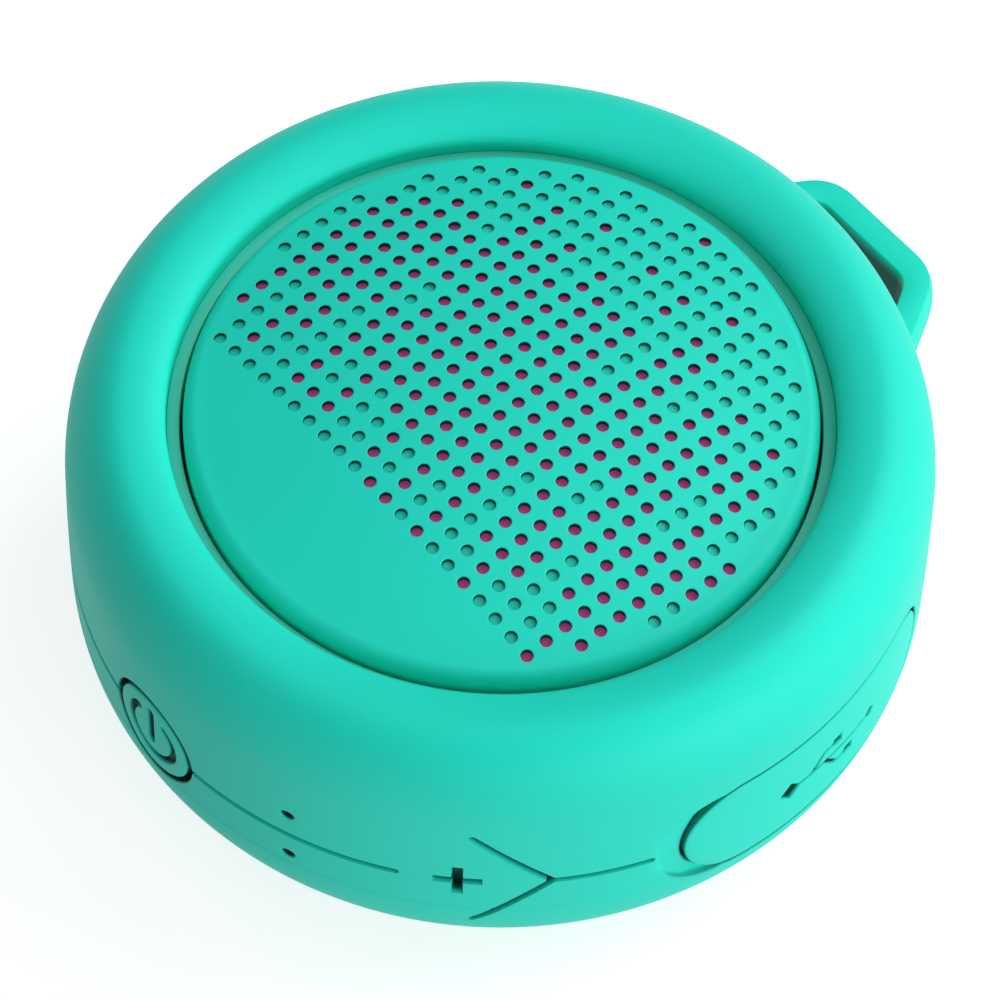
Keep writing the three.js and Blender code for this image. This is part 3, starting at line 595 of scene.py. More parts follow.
def carved_layout(columns, rows):
    """The carved band of the sleeve, unrolled, with points along every mark in it."""
    layout = Layout()
    layout.add_loop(border_loop(columns, rows))
    xs, ys = tracing_grid(columns[0] + 0.5, COVER_RIGHT + 3, CARVED_LOW + 0.3, CARVED_HIGH - 0.2)
    layout.add_contours(groove_distance, xs, ys, (0.1, 0.04, -0.03, -0.1, -0.16))
    layout.add_contours(hole_distance, xs, ys, (0.22, 0.12, 0.05, 0.0))
    layout.add_contours(recess_distance, xs, ys, (0.1, 0.0, -0.1, -0.3))
    for offset in (-0.16, -0.1, -0.04, 0.04, 0.1, 0.16):
        layout.add([(s, PARTING_HEIGHT + offset) for s in columns[1:-1]])
    layout.add(grid_points(columns[1:-1], rows[1:-1], clear_of_marks))
    recess_columns = np.arange(RECESS_LEFT, COVER_LEFT + 14, 0.5)
    layout.add(grid_points(recess_columns, np.arange(13.0, 27.5, 0.5), on_recess_floor))
    return layout


def bezel_profile():
    """From the top of the carved band over the bezel and down to the grille's ledge."""
    shoulder = arc_points(
        CREST_RADIUS, BAND_HIGH, BAND_HIGH_RADIUS - CREST_RADIUS, CREST_HEIGHT - BAND_HIGH, 0, 90, 24
    )
    roll = arc_points(
        CREST_RADIUS, LIP_HEIGHT, CREST_RADIUS - LIP_RADIUS, CREST_HEIGHT - LIP_HEIGHT, 90, 180, 12
    )
    lip = [(LIP_RADIUS, z) for z in (36.4, 35.2, SHOULDER_HEIGHT)]
    return [(float(body_radius(CARVED_HIGH)), CARVED_HIGH)] + shoulder + roll[1:] + lip


def bowl_profile(depth, steps):
    """The curve of the lower body, from the carved band to the flat, a depth inside the skin."""
    height = BAND_LOW - UNDERSIDE_HEIGHT - depth
    start = math.degrees(math.asin((CARVED_LOW - BAND_LOW) / height))
    reach = BODY_RADIUS - UNDERSIDE_RADIUS - depth
    return arc_points(UNDERSIDE_RADIUS, BAND_LOW, reach, height, start, -90, steps)


def underside_profile():
    """From the bottom of the carved band under the body to the edge of the floor's hole."""
    flat = [(r, UNDERSIDE_HEIGHT) for r in (27.5, 26.2, 25.2)]
    edge = [(0.2, 0.06), (0.0, 0.25), (0.0, SKIN)]
    edge = [(FLOOR_HOLE_RADIUS + r, UNDERSIDE_HEIGHT + z) for r, z in edge]
    return bowl_profile(0.0, 20) + flat + edge


def join_to_inside(shell, arcs, inner_arcs, outside, inside):
    """A flat ring from an outer rim of all columns to an inner rim of every second one."""
    outer_start = shell.add(wrapped(arcs, *outside))
    inner_start = shell.add(wrapped(inner_arcs, *inside))
    for k in range(len(inner_arcs)):
        here, following = inner_start + k, inner_start + (k + 1) % len(inner_arcs)
        a, b, c = (outer_start + (2 * k + i) % len(arcs) for i in range(3))
        shell.faces += [(a, b, here), (b, c, following), (b, following, here)]


def silicone_sleeve():
    """The sleeve as one closed skin: a carved band, with turned parts above and below it."""
    seam = -1.25 * FORK_TAIL  # where the band is cut to unroll it, clear of every mark
    columns = seam + 2 * math.pi * BODY_RADIUS * np.arange(RING_COLUMNS + 1) / RING_COLUMNS
    rows = np.linspace(CARVED_LOW, CARVED_HIGH, CARVED_ROWS)
    flat, triangles = carved_layout(columns, rows).triangulated(outside_holes)
    s, z = flat.T
    rims = [
        (a, b) for a, b in open_edges(triangles)
        if not (on_border(flat[a], columns, rows) and on_border(flat[b], columns, rows))
    ]

    # The inside of the band has every second column, every sixth row and the same holes.
    inner_columns, inner_rows = columns[::2], rows[::6]
    inner_points = grid_points(
        inner_columns[1:-1], inner_rows[1:-1], lambda s, z: np.abs(hole_distance(s, z)) > 0.5
    )
    loops = [border_loop(inner_columns, inner_rows)]
    inner_flat, inner_triangles, walls = backing(flat, rims, loops, inner_points, outside_holes)
    inner_s, inner_z = inner_flat.T
    shell = Shell()
    shell.add(wrapped(s, body_radius(z) - pressed_depth(s, z), z), [*triangles.tolist(), *walls])
    shell.add(wrapped(inner_s, inner_radius(inner_z), inner_z), inner_triangles[:, ::-1].tolist())

    # Everything above and below the band is turned.
    over, under = bezel_profile(), underside_profile()
    inner_top = (float(inner_radius(CARVED_HIGH)), CARVED_HIGH)
    inner_shoulder = (SHOULDER_RADIUS, SHOULDER_HEIGHT)
    arcs, inner_arcs = columns[:-1], inner_columns[:-1]
    for profile in (over, under):
        shell.add_rings([wrapped(arcs, r, z) for r, z in profile])
    for profile in (bowl_profile(SKIN, 8), [inner_shoulder, inner_top]):
        shell.add_rings([wrapped(inner_arcs, r, z) for r, z in profile])
    inner_floor = (UNDERSIDE_RADIUS, UNDERSIDE_HEIGHT + SKIN)
    join_to_inside(shell, arcs, inner_arcs, over[-1], inner_shoulder)
    join_to_inside(shell, arcs, inner_arcs, under[-1], inner_floor)
    return shell.piece("silicone_skin", SKIN_CREASE, 0.003)


def sleeve_painted_shade(s, z, radii):
    """Painted shade: the sleeve is darkest in its grooves and holes, with a painted shadow line along
    the recess's lower edge.
    """
    under = body_radius(z) - radii
    pressed = smooth_step((0.1 - groove_distance(s, z)) / 0.16) * smooth_step((under - 0.1) / 0.4)
    hole = smooth_step((0.2 - hole_distance(s, z)) / 0.12) * smooth_step((under - 0.04) / 0.14)
    hole = hole * (1 - 0.6 * smooth_step((0.3 - recess_distance(s, z)) / 0.4))
    # a painted shadow line along the recess's edge, on its lower part only
    recess_shadow_line = 0.55 * smooth_step((0.18 - np.abs(recess_distance(s, z) + 0.05)) / 0.1)
    recess_shadow_line = recess_shadow_line * smooth_step((CONTROL_HEIGHT - 2.0 - z) / 3.0)
    in_band = (z > CARVED_LOW) & (z < CARVED_HIGH) & (under < SKIN + 0.1)
    marks = np.maximum.reduce([pressed, hole, recess_shadow_line])
    return np.maximum(np.where(in_band, marks, 0.0), slot_shade(s, z, radii))


def slot_shade(s, z, radii):
    """Painted shade on the walls of the strap loop's slot, darker further down."""
    x, y = radii * np.sin(s / BODY_RADIUS), -radii * np.cos(s / BODY_RADIUS)
    reach = LOOP_REACH - LOOP_WALL
    share = (y - SLOT_ROOT_Y) / (reach - SLOT_ROOT_Y)
    half_width = SLOT_ROOT_HALF + (SLOT_OUTER_HALF - SLOT_ROOT_HALF) * share
    inside = (radii > BODY_RADIUS - 0.6) & (np.abs(x) < half_width + 0.35) & (y < reach + 0.35)
    below = CONTROL_HEIGHT + LOOP_THICKNESS / 2 - z
    in_slot = inside & (y > SLOT_ROOT_Y) & (below < LOOP_THICKNESS + 0.01)
    return 0.9 * in_slot * smooth_step(below / 1.6)


def rounded_outline(corners, radius, steps=7):
    """A polygon's outline with its corners rounded."""
    points = []
    n = len(corners)
    for i, corner in enumerate(corners):
        corner = Vector(corner)
        before = (Vector(corners[i - 1]) - corner).normalized() * radius + corner
        after = (Vector(corners[(i + 1) % n]) - corner).normalized() * radius + corner
        for k in range(steps + 1):
            t = k / steps
            points.append(before * (1 - t) ** 2 + corner * 2 * t * (1 - t) + after * t * t)
    return [(p.x, p.y) for p in points]


def tapered_outline(root_half, root_y, outer_half, reach, corner):
    """A rounded outline that narrows from its root on the body to its far end."""
    corners = [(-root_half, root_y), (root_half, root_y), (outer_half, reach), (-outer_half, reach)]
    return rounded_outline(corners, corner)


def offset_outline(points, amount):
    """An outline moved outwards along its normals."""
    moved = []
    for i, point in enumerate(points):
        along = Vector(points[(i + 1) % len(points)]) - Vector(points[i - 1])
        moved.append(Vector(point) + Vector((along.y, -along.x)).normalized() * amount)
    return moved


def loop_wall_levels():
    """Heights up the loop's wall and how far it bows outwards there, with rounded edges."""
    half = LOOP_THICKNESS / 2
    edge = 0.25
    heights = np.linspace(-half + 0.9, half - 0.9, 6)
    levels = [(-half, -edge), (-half + 0.07, -0.07), (-half + edge, 0.0)]
    levels += [(z, LOOP_BULGE * (1 - (z / half) ** 2)) for z in heights]
    return levels + [(half - edge, 0.0), (half - 0.07, -0.07), (half, -edge)]


def strap_loop():
    """The loop moulded on the back of the sleeve, flat above and below with bowed sides."""
    levels = loop_wall_levels()
    outline = tapered_outline(
        LOOP_ROOT_HALF, LOOP_ROOT_Y, LOOP_OUTER_HALF, LOOP_REACH, LOOP_CORNER
    )
    slot = tapered_outline(
        SLOT_ROOT_HALF, SLOT_ROOT_Y, SLOT_OUTER_HALF, LOOP_REACH - LOOP_WALL,
        LOOP_CORNER - LOOP_WALL / 2,
    )

    def rings(points, side):
        made = []
        for z, outwards in levels:
            bowed = outwards if side > 0 else min(outwards, 0.0)
            moved = offset_outline(points, side * bowed)
            made.append([(p.x, p.y, CONTROL_HEIGHT + z) for p in moved])
        return made

    shell = Shell()
    outer_start = shell.add_rings(rings(outline, 1))
    slot_start = shell.add_rings(rings(slot, -1))
    n = len(outline)
    for level in (0, len(levels) - 1):
        outer_ring, slot_ring = outer_start + level * n, slot_start + level * n
        for k in range(n):
            following = (k + 1) % n
            shell.faces.append(
                (outer_ring + k, outer_ring + following, slot_ring + following, slot_ring + k)
            )
    loop = shell.piece("strap_loop", SKIN_CREASE)
    radius, low, high = BODY_RADIUS - SKIN / 2, CARVED_LOW, CARVED_HIGH
    core = turned_piece("loop_core", [(0, low), (radius, low), (radius, high), (0, high)])
    boolean(loop, core, "DIFFERENCE")
    return loop


# ---- port cover and power button

def fork_sign(s, z):
    """Signed distance to the connector sign: a line with two branches that end in blocks."""
    line = CONTROL_HEIGHT - 0.35
    stroke = 0.24
    return nearest(
        to_segment(s, z, (69.0, line + 0.1), (80.6, line - 0.2)) - stroke,
        to_segment(s, z, (71.2, line), (73.0, line + 1.9)) - stroke,
        to_segment(s, z, (73.0, line + 1.9), (75.0, line + 1.9)) - stroke,
        to_segment(s, z, (73.2, line), (75.0, line - 2.0)) - stroke,
        to_segment(s, z, (75.0, line - 2.0), (77.0, line - 2.0)) - stroke,
        to_box(s, z, (75.0, line + 1.9), 0.62, 0.62),
        to_box(s, z, (77.0, line - 2.0), 0.62, 0.62),
        to_box(s, z, (68.4, line), 0.95, 0.95, 45),
        to_box(s, z, (80.6, line - 0.2), 0.6, 0.6, 45),
    )


def power_sign(s, z):
    """Signed distance to a bar in a circle that is open at the top."""
    middle = arc_at(POWER_BEARING)
    bar = to_segment(s, z, (middle, CONTROL_HEIGHT + 3.6), (middle, CONTROL_HEIGHT - 1.1))
    return nearest(bar, to_arc(s, z, (middle, CONTROL_HEIGHT), 3.3, 36)) - 0.45


def lid_painted_shade(outline, sign, sign_depth):
    """Painted shade: a lid is darkest in its sign and down its sides."""
    def field(s, z, radii):
        under = body_radius(z) - radii
        pressed = smooth_step((0.09 - sign(s, z)) / 0.14) * smooth_step((under - 0.08) / 0.2)
        side = 0.8 * smooth_step((under - 0.05) / 0.2) * smooth_step((outline(s, z) + 0.2) / 0.12)
        return np.maximum(pressed * (under < sign_depth + 0.2), side)
    return field


def flush_lid(name, outline, sign, span, inner, sign_depth):
    """A lid that follows the body's surface, with a sign pressed into it and soft edges."""
    def inside(x, y):
        return outline(x, y) < 0

    (s_low, s_high), (z_low, z_high) = span
    xs, ys = tracing_grid(s_low - 0.6, s_high + 0.6, z_low - 0.6, z_high + 0.6)
    layout = Layout()
    layout.add_contours(outline, xs, ys, (0.0, -0.06, -0.14, -LID_EDGE))
    layout.add_contours(sign, xs, ys, (0.08, 0.03, -0.03, -0.08, -0.13))
    layout.add(grid_points(
        np.arange(s_low, s_high, 0.8), np.arange(z_low, z_high, 0.8),
        lambda x, y: (outline(x, y) < -0.6) & (np.abs(sign(x, y)) > 0.3),
    ))
    flat, triangles = layout.triangulated(inside)
    back_points = grid_points(
        np.arange(s_low, s_high, 1.5), np.arange(z_low, z_high, 1.5),
        lambda x, y: outline(x, y) < -0.6,
    )
    back, back_triangles, walls = backing(flat, open_edges(triangles), [], back_points, inside)
    s, z = flat.T
    edge = np.clip((outline(s, z) + LID_EDGE) / LID_EDGE, 0, 1)
    rounding = LID_EDGE * (1 - np.sqrt(1 - 0.96 * edge * edge))
    pressed = sign_depth * smooth_step((0.08 - sign(s, z)) / 0.2)
    shell = Shell()
    radii = body_radius(z) - np.maximum(rounding, pressed)
    shell.add(wrapped(s, radii, z), [*triangles.tolist(), *walls])
    shell.add(wrapped(back[:, 0], inner, back[:, 1]), back_triangles[:, ::-1].tolist())
    return shell.piece(name, LID_CREASE, 0.003)


def radial_frame(bearing, height):
    """A matrix whose +Z points outwards at a bearing, from the body's axis, at a height."""
    angle = math.radians(bearing)
    outwards = Vector((math.sin(angle), -math.cos(angle), 0))
    along = Vector((math.cos(angle), math.sin(angle), 0))
    turn = Matrix((along, Vector((0, 0, 1)), outwards)).transposed().to_4x4()
    return Matrix.Translation((0, 0, height * MM)) @ turn


def placed(piece, matrix):
    piece.data.transform(matrix)
    return piece


def rounded_block(name, width, height, low, high, corner):
    """A block with rounded corners that stands on the local XY plane."""
    w, h = width / 2, height / 2
    outline = rounded_outline([(-w, -h), (w, -h), (w, h), (-w, h)], corner)
    n = len(outline)
    shrink = 1 - 0.25 / w
    rings = [(low, shrink), (low + 0.25, 1.0), (high, 1.0)]
    vertices = [(x * f, y * f, z) for z, f in rings for x, y in outline]
    faces = [tuple(range(n))[::-1], tuple(range(2 * n, 3 * n))]
    for k in range(n):
        following = (k + 1) % n
        for start in (0, n):
            faces.append((start + k, start + following, start + n + following, start + n + k))
    return mesh_piece(name, vertices, faces, 35.0)


def cover_outline(s, z):
    return to_stadium(s, z, COVER_LEFT, COVER_RIGHT, COVER_HALF_HEIGHT)


def port_cover():
    """The flap over the charging port, with the plug on its back that fills the port."""
    lid = flush_lid(
        "port_cover_flap",
        cover_outline,
        fork_sign,
        ((COVER_LEFT, COVER_RIGHT),
         (CONTROL_HEIGHT - COVER_HALF_HEIGHT, CONTROL_HEIGHT + COVER_HALF_HEIGHT)),
        COVER_INNER_RADIUS,
        FORK_SIGN_DEPTH,
    )
    plug = rounded_block(
        "cover_plug", PLUG_WIDTH, PLUG_HEIGHT,
        COVER_INNER_RADIUS - PLUG_LENGTH, COVER_INNER_RADIUS + 1, PLUG_CORNER,
    )
    boolean(lid, placed(plug, radial_frame(PORT_BEARING, PORT_HEIGHT)), "UNION")
    tidy_mesh(lid, LID_CREASE)
    store_painted_shade(lid, lid_painted_shade(cover_outline, fork_sign, FORK_SIGN_DEPTH))
    return lid


def button_outline(s, z):
    return np.hypot(s - arc_at(POWER_BEARING), z - CONTROL_HEIGHT) - BUTTON_RADIUS


def power_button():
    """The round cap, with the stem on its back that reaches the switch."""
    middle = arc_at(POWER_BEARING)
    cap = flush_lid(
        "power_button_cap",
        button_outline,
        power_sign,
        ((middle - BUTTON_RADIUS, middle + BUTTON_RADIUS),
         (CONTROL_HEIGHT - BUTTON_RADIUS, CONTROL_HEIGHT + BUTTON_RADIUS)),
        BUTTON_INNER_RADIUS,
        POWER_SIGN_DEPTH,
    )
    tip, base = STEM_TIP_RADIUS, BUTTON_INNER_RADIUS + 0.6
    profile = [
        (0, tip), (STEM_RADIUS - 0.2, tip), (STEM_RADIUS, tip + 0.2), (STEM_RADIUS, base), (0, base),
    ]
    stem = turned_piece("button_stem", profile, 32)
    boolean(cap, placed(stem, radial_frame(POWER_BEARING, CONTROL_HEIGHT)), "UNION")
    tidy_mesh(cap, LID_CREASE)
    store_painted_shade(cap, lid_painted_shade(button_outline, power_sign, POWER_SIGN_DEPTH))
    return cap


# ---- grille, ring, cloth and foot

def dome_height(radii, apex=GRILLE_APEX):
    return apex - GRILLE_DOME * np.asarray(radii) ** 2


def hole_places():
    """Every place of the hole pattern as (x, y, open)."""
    places = []
    reach = int(math.sqrt(PATTERN_REACH))
    for column in range(-reach, reach + 1):
        index = column - FIRST_COLUMN
        highest, lowest = OPEN_ROWS[index] if 0 <= index < len(OPEN_ROWS) else (-99, 99)
        for row in range(PATTERN_LOWEST_ROW, reach + 1):
            if column * column + row * row <= PATTERN_REACH:
                is_open = lowest <= row <= highest or (column, row) in LONE_OPEN
                is_open = is_open and (column, row) not in LONE_BLIND
                places.append((column * HOLE_PITCH, row * HOLE_PITCH, is_open))
    return places


def circle(x, y, radius, points):
    angles = np.linspace(0, 2 * math.pi, points, endpoint=False)
    return np.column_stack([x + radius * np.cos(angles), y + radius * np.sin(angles)])


def to_nearest(x, y, spots):
    """Distance from each point to the nearest spot, and which spot that is."""
    gaps = np.hypot(x[:, None] - spots[None, :, 0], y[:, None] - spots[None, :, 1])
    return gaps.min(1), gaps.argmin(1)


def grille_painted_shade(s, z, radii):
    """Painted shade: the walls of the holes and dimples are darkened, and a dimple's floor is not."""
    angles = s / BODY_RADIUS
    spots = np.array([place[:2] for place in hole_places()])
    gap, _ = to_nearest(radii * np.sin(angles), -radii * np.cos(angles), spots)
    under = dome_height(radii) - z
    wall = smooth_step((gap - HOLE_RADIUS + 0.11) / 0.08)
    inside = (gap < HOLE_RADIUS + 0.03) & (radii < GRILLE_RADIUS - GRILLE_ROLL)
    return smooth_step((under - 0.02) / 0.08) * inside * wall


def hole_steps(is_open):
    """Rings round a hole or dimple, as (radius, depth), from its soft edge inwards."""
    steps = [(0.16, 0.0), (0.07, 0.0), (0.02, 0.03), (0.0, HOLE_EDGE_DEPTH)]
    if not is_open:
        steps += [(-0.02, DIMPLE_DEPTH - 0.1), (-0.12, DIMPLE_DEPTH)]
    return [(HOLE_RADIUS + outwards, depth) for outwards, depth in steps]


def grille_panel():
    """The domed panel, with holes and dimples on top and only the holes on its underside."""
    places = hole_places()
    spots = np.array([place[:2] for place in places])
    is_open = np.array([place[2] for place in places])
    open_spots = spots[is_open]
    roll_start = GRILLE_RADIUS - GRILLE_ROLL
    rim_inner = GRILLE_RADIUS - GRILLE_RIM_WIDTH

    def solid_within(limit):
        def solid(x, y):
            to_hole, _ = to_nearest(x, y, open_spots)
            return (to_hole > HOLE_RADIUS * 0.97) & (np.hypot(x, y) < limit)
        return solid

    def between_holes(x, y):
        return (np.hypot(x, y) < roll_start - 0.5) & (to_nearest(x, y, spots)[0] > 0.95)

    layout = Layout()
    layout.add_loop(circle(0, 0, roll_start, GRILLE_COLUMNS))
    for x, y, opened in places:
        for radius, _ in hole_steps(opened):
            layout.add_loop(circle(x, y, radius, 20))
    ticks = np.arange(-30, 30.1, HOLE_PITCH / 2)
    layout.add(grid_points(ticks, ticks, between_holes))
    flat, triangles = layout.triangulated(solid_within(roll_start))
    from_hole, which = to_nearest(*flat.T, spots)
    radii, depths = zip(*hole_steps(False)[::-1])
    depth = np.interp(from_hole, radii, depths)
    depth = np.where(is_open[which], np.minimum(depth, HOLE_EDGE_DEPTH), depth)

    rims = [(a, b) for a, b in open_edges(triangles) if np.hypot(*flat[a]) < roll_start - 0.01]
    loops = [circle(0, 0, rim_inner, GRILLE_COLUMNS)]
    under_flat, under_triangles, walls = backing(flat, rims, loops, [], solid_within(rim_inner))
    under_apex = GRILLE_APEX - GRILLE_THICKNESS
    top = np.column_stack([flat, dome_height(np.hypot(*flat.T)) - depth])
    bottom = np.column_stack([under_flat, dome_height(np.hypot(*under_flat.T), under_apex)])
    shell = Shell()
    shell.add(top, [*triangles.tolist(), *walls])
    shell.add(bottom, under_triangles[:, ::-1].tolist())

    # The rolled edge, down to the seat and back up inside to the underside.
    roll_top = float(dome_height(roll_start))
    roll = arc_points(roll_start, roll_top - GRILLE_ROLL, GRILLE_ROLL, GRILLE_ROLL, 78, 0, 8)
    seat = [(GRILLE_RADIUS, GRILLE_SEAT), (rim_inner, GRILLE_SEAT)]
    under_edge = (rim_inner, float(dome_height(rim_inner, under_apex)))
    shell.add_rings([
        np.column_stack([circle(0, 0, r, GRILLE_COLUMNS), np.full(GRILLE_COLUMNS, z)])
        for r, z in [(roll_start, roll_top), *roll, *seat, under_edge]
    ])
    grille = shell.piece("grille_dome", SKIN_CREASE, 0.003)
    store_painted_shade(grille, grille_painted_shade)
    return grille


def grille_ring():
    """The thin light rim between the grille and the bezel, with its top edges rounded."""
    inner, outer, top = GRILLE_RADIUS + RING_GAP, LIP_RADIUS - 0.03, RING_TOP
    profile = [
        (inner, GRILLE_SEAT), (outer, GRILLE_SEAT), (outer, top - 0.12), (outer - 0.04, top - 0.04),
        (outer - 0.12, top), (inner + 0.12, top), (inner + 0.04, top - 0.04), (inner, top - 0.12),
    ]
    return turned_piece("grille_trim_ring", profile, closed=True)


def acoustic_cloth():
    """The cloth stretched under the grille, following its dome."""
    top = GRILLE_APEX - GRILLE_THICKNESS - CLOTH_GAP
    radii = np.linspace(0, CLOTH_RADIUS, 25)
    over = [(float(r), float(dome_height(r, top))) for r in radii]
    under = [(float(r), float(dome_height(r, top - CLOTH_THICKNESS))) for r in radii[::-1]]
    return turned_piece("acoustic_mesh_cloth", over + under, 96)


def foot_pad():
    """The rubber foot, with low ridges moulded round it."""
    sunk = FOOT_RIDGE_HEIGHT
    ridge = [(0.0, sunk), (0.15, 0.05), (0.35, 0.0), (1.1, 0.0), (1.3, 0.05), (1.45, sunk)]
    profile = [(0, sunk), (FOOT_FIRST_RIDGE - 0.6, sunk)]
    for index in range(FOOT_RIDGES):
        start = FOOT_FIRST_RIDGE + index * FOOT_RIDGE_PITCH
        profile += [(start + r, z) for r, z in ridge]
    edge = [(0.5, sunk), (0.15, sunk + 0.1), (0.0, 2 * sunk), (0.0, FOOT_THICKNESS)]
    profile += [(FOOT_RADIUS - r, z) for r, z in edge]
    return turned_piece("foot_ridged_pad", [*profile, (0, FOOT_THICKNESS)])


# ---- materials

def feed(material, node, inputs):
    """Gives a node's inputs values, or links them where the value is another node's socket."""
    for name, given in inputs.items():
        if isinstance(given, bpy.types.NodeSocket):
            material.node_tree.links.new(given, node.inputs[name])
        else:
            node.inputs[name].default_value = given


def add_node(material, kind, inputs):
    node = material.node_tree.nodes.new("ShaderNode" + kind)
    feed(material, node, inputs)
    return node


def feed_shader(material, inputs):
    feed(material, material.node_tree.nodes["Principled BSDF"], inputs)


def new_material(name, color, roughness, metallic=0.0, specular=0.5):
    material = bpy.data.materials.new(name)
    material.use_nodes = True
    feed_shader(material, {
        "Base Color": (*color, 1), "Roughness": roughness, "Metallic": metallic,
        "Specular IOR Level": specular,
    })
    return material


def noise(material, scale, detail):
    """A noise texture on the object's own coordinates; scale is repeats in a metre."""
    place = add_node(material, "TexCoord", {}).outputs["Object"]
    inputs = {"Vector": place, "Scale": scale, "Detail": detail, "Roughness": 0.55}
    return add_node(material, "TexNoise", inputs)


def vary_color(material, source, low, high):
    """Base colour that drifts between two colours with a texture."""
    ramp = add_node(material, "ValToRGB", {"Fac": source.outputs[0]})
    for element, position, color in zip(ramp.color_ramp.elements, (0.3, 0.7), (low, high)):
        element.position = position
        element.color = (*color, 1)
    feed_shader(material, {"Base Color": ramp.outputs["Color"]})


def vary_roughness(material, source, low, high):
    inputs = {
        "Value": source.outputs[0], "From Min": 0.3, "From Max": 0.7, "To Min": low, "To Max": high,
    }
    spread = add_node(material, "MapRange", inputs)
    feed_shader(material, {"Roughness": spread.outputs["Result"]})


def bump(material, source, depth_mm):
    inputs = {"Strength": 1.0, "Distance": depth_mm * MM, "Height": source.outputs[0]}
    made = add_node(material, "Bump", inputs)
    feed_shader(material, {"Normal": made.outputs["Normal"]})


def grained(name, color, roughness, grain, depth_mm, drift=0.05, metallic=0.0, specular=0.5):
    """A moulded, cast or cut material: fine grain, a slow drift of colour and uneven gloss."""
    material = new_material(name, color, roughness, metallic, specular)
    slow = noise(material, 45, 2)
    fine = noise(material, grain, 4)
    low = tuple(c * (1 - drift) for c in color)
    high = tuple(min(1.0, c * (1 + drift)) for c in color)
    vary_color(material, slow, low, high)
    vary_roughness(material, slow, roughness - 0.05, min(1.0, roughness + 0.05))
    bump(material, fine, depth_mm)
    return material


def paint_cavity_shade(material, strength):
    """Paints shade: multiplies the base colour down where the piece's stored shade values rise."""
    painted_shade = add_node(material, "Attribute", {})
    painted_shade.attribute_name = "painted_shade"
    inputs = {"Value": painted_shade.outputs["Fac"], "To Min": 1.0, "To Max": 1.0 - strength}
    kept = add_node(material, "MapRange", inputs)
    shader = material.node_tree.nodes["Principled BSDF"]
    color = shader.inputs["Base Color"].links[0].from_socket
    mix = add_node(material, "VectorMath", {0: color, 1: kept.outputs["Result"]})
    mix.operation = "MULTIPLY"
    feed_shader(material, {"Base Color": mix.outputs["Vector"]})
    return material


def woven(name, light, dark, threads_per_m, depth_mm, painted_glow=0.0):
    """A plain weave: two crossed sets of threads. The glow is painted light: the cloth emits its
    light thread colour, so it looks brighter than the light reaching it.
    """
    material = new_material(name, light, 0.85, specular=0.3)
    place = add_node(material, "TexCoord", {}).outputs["Object"]
    weave = add_node(material, "Math", {})
    weave.operation = "MULTIPLY"
    for index, direction in enumerate(("X", "Y")):
        inputs = {"Vector": place, "Scale": threads_per_m / 2, "Distortion": 0.6}
        wave = add_node(material, "TexWave", inputs)
        wave.bands_direction = direction
        feed(material, weave, {index: wave.outputs["Fac"]})
    vary_color(material, weave, dark, light)
    bump(material, weave, depth_mm)
    # the emission is painted light; the cloth is no lamp
    feed_shader(material, {
        "Sheen Weight": 0.2, "Emission Color": (*light, 1), "Emission Strength": painted_glow,
    })
    return material


def build_materials():
    teal = (0.012, 0.80, 0.628)
    silicone = grained("silicone", teal, 0.55, 2600, 0.012, 0.02, specular=0.2)
    grille_plastic = grained("grille_plastic", teal, 0.48, 1800, 0.008, 0.02, specular=0.22)
    return {
        # the sleeve's and the grille's colours carry painted shade in their grooves, holes and
        # dimples
        "silicone": paint_cavity_shade(silicone, 0.93),
        "grille_plastic": paint_cavity_shade(grille_plastic, 0.94),
        "ring_plastic": grained("ring_plastic", (0.06, 0.66, 0.53), 0.4, 1800, 0.008, 0.02),
        "foot_rubber": grained("foot_rubber", (0.02, 0.022, 0.024), 0.8, 2200, 0.03, 0.1),
        # the cloth's glow is painted light that brightens it in the shade under the grille
        "acoustic_cloth": woven(
            "acoustic_cloth", (0.98, 0.15, 0.52), (0.6, 0.05, 0.28), 2600, 0.1, painted_glow=0.13
        ),
        "housing_plastic": grained("housing_plastic", (0.025, 0.028, 0.03), 0.55, 1500, 0.02, 0.1),
        "bright_steel": grained("bright_steel", (0.62, 0.63, 0.65), 0.3, 900, 0.01, 0.05, 1.0),
        "magnet_ferrite": grained("magnet_ferrite", (0.045, 0.045, 0.05), 0.6, 1200, 0.03, 0.15),
        "copper_wire": grained("copper_wire", (0.72, 0.30, 0.14), 0.35, 3000, 0.03, 0.1, 1.0),
        "cone_paper": grained("cone_paper", (0.03, 0.03, 0.033), 0.9, 700, 0.08, 0.2),
        "spider_cloth": woven("spider_cloth", (0.55, 0.42, 0.16), (0.20, 0.14, 0.05), 1400, 0.1),
        "foam": grained("foam", (0.62, 0.62, 0.58), 0.95, 1400, 0.3, 0.12),
        "board_laminate": grained("board_laminate", (0.01, 0.10, 0.045), 0.4, 400, 0.02, 0.2),
        "metal_foil": grained("metal_foil", (0.50, 0.53, 0.57), 0.35, 300, 0.08, 0.05, 0.8),
        "led_lens": grained("led_lens", (0.75, 0.78, 0.80), 0.2, 300, 0.01, 0.02),
        "red_insulation": grained("red_insulation", (0.45, 0.02, 0.025), 0.45, 900, 0.02, 0.1),
        "black_insulation": grained("black_insulation", (0.015, 0.015, 0.016), 0.45, 900, 0.02, 0.1),
    }


# ---- stage, light and camera

def add_floor():
    """A plain pale floor that glows a little, so it stays white without lighting the speaker."""
    size = 4.0
    mesh = bpy.data.meshes.new("floor")
    corners = [(-size, -size, 0), (size, -size, 0), (size, size, 0), (-size, size, 0)]
    mesh.from_pydata(corners, [], [(0, 1, 2, 3)])
    floor = bpy.data.objects.new("floor", mesh)
    bpy.context.collection.objects.link(floor)
    paint = grained("floor_paint", (0.55, 0.55, 0.55), 0.9, 200, 0.02, 0.005)
    feed_shader(paint, {"Emission Color": (1, 1, 1, 1), "Emission Strength": 0.72})
    mesh.materials.append(paint)
    floor.visible_diffuse = False


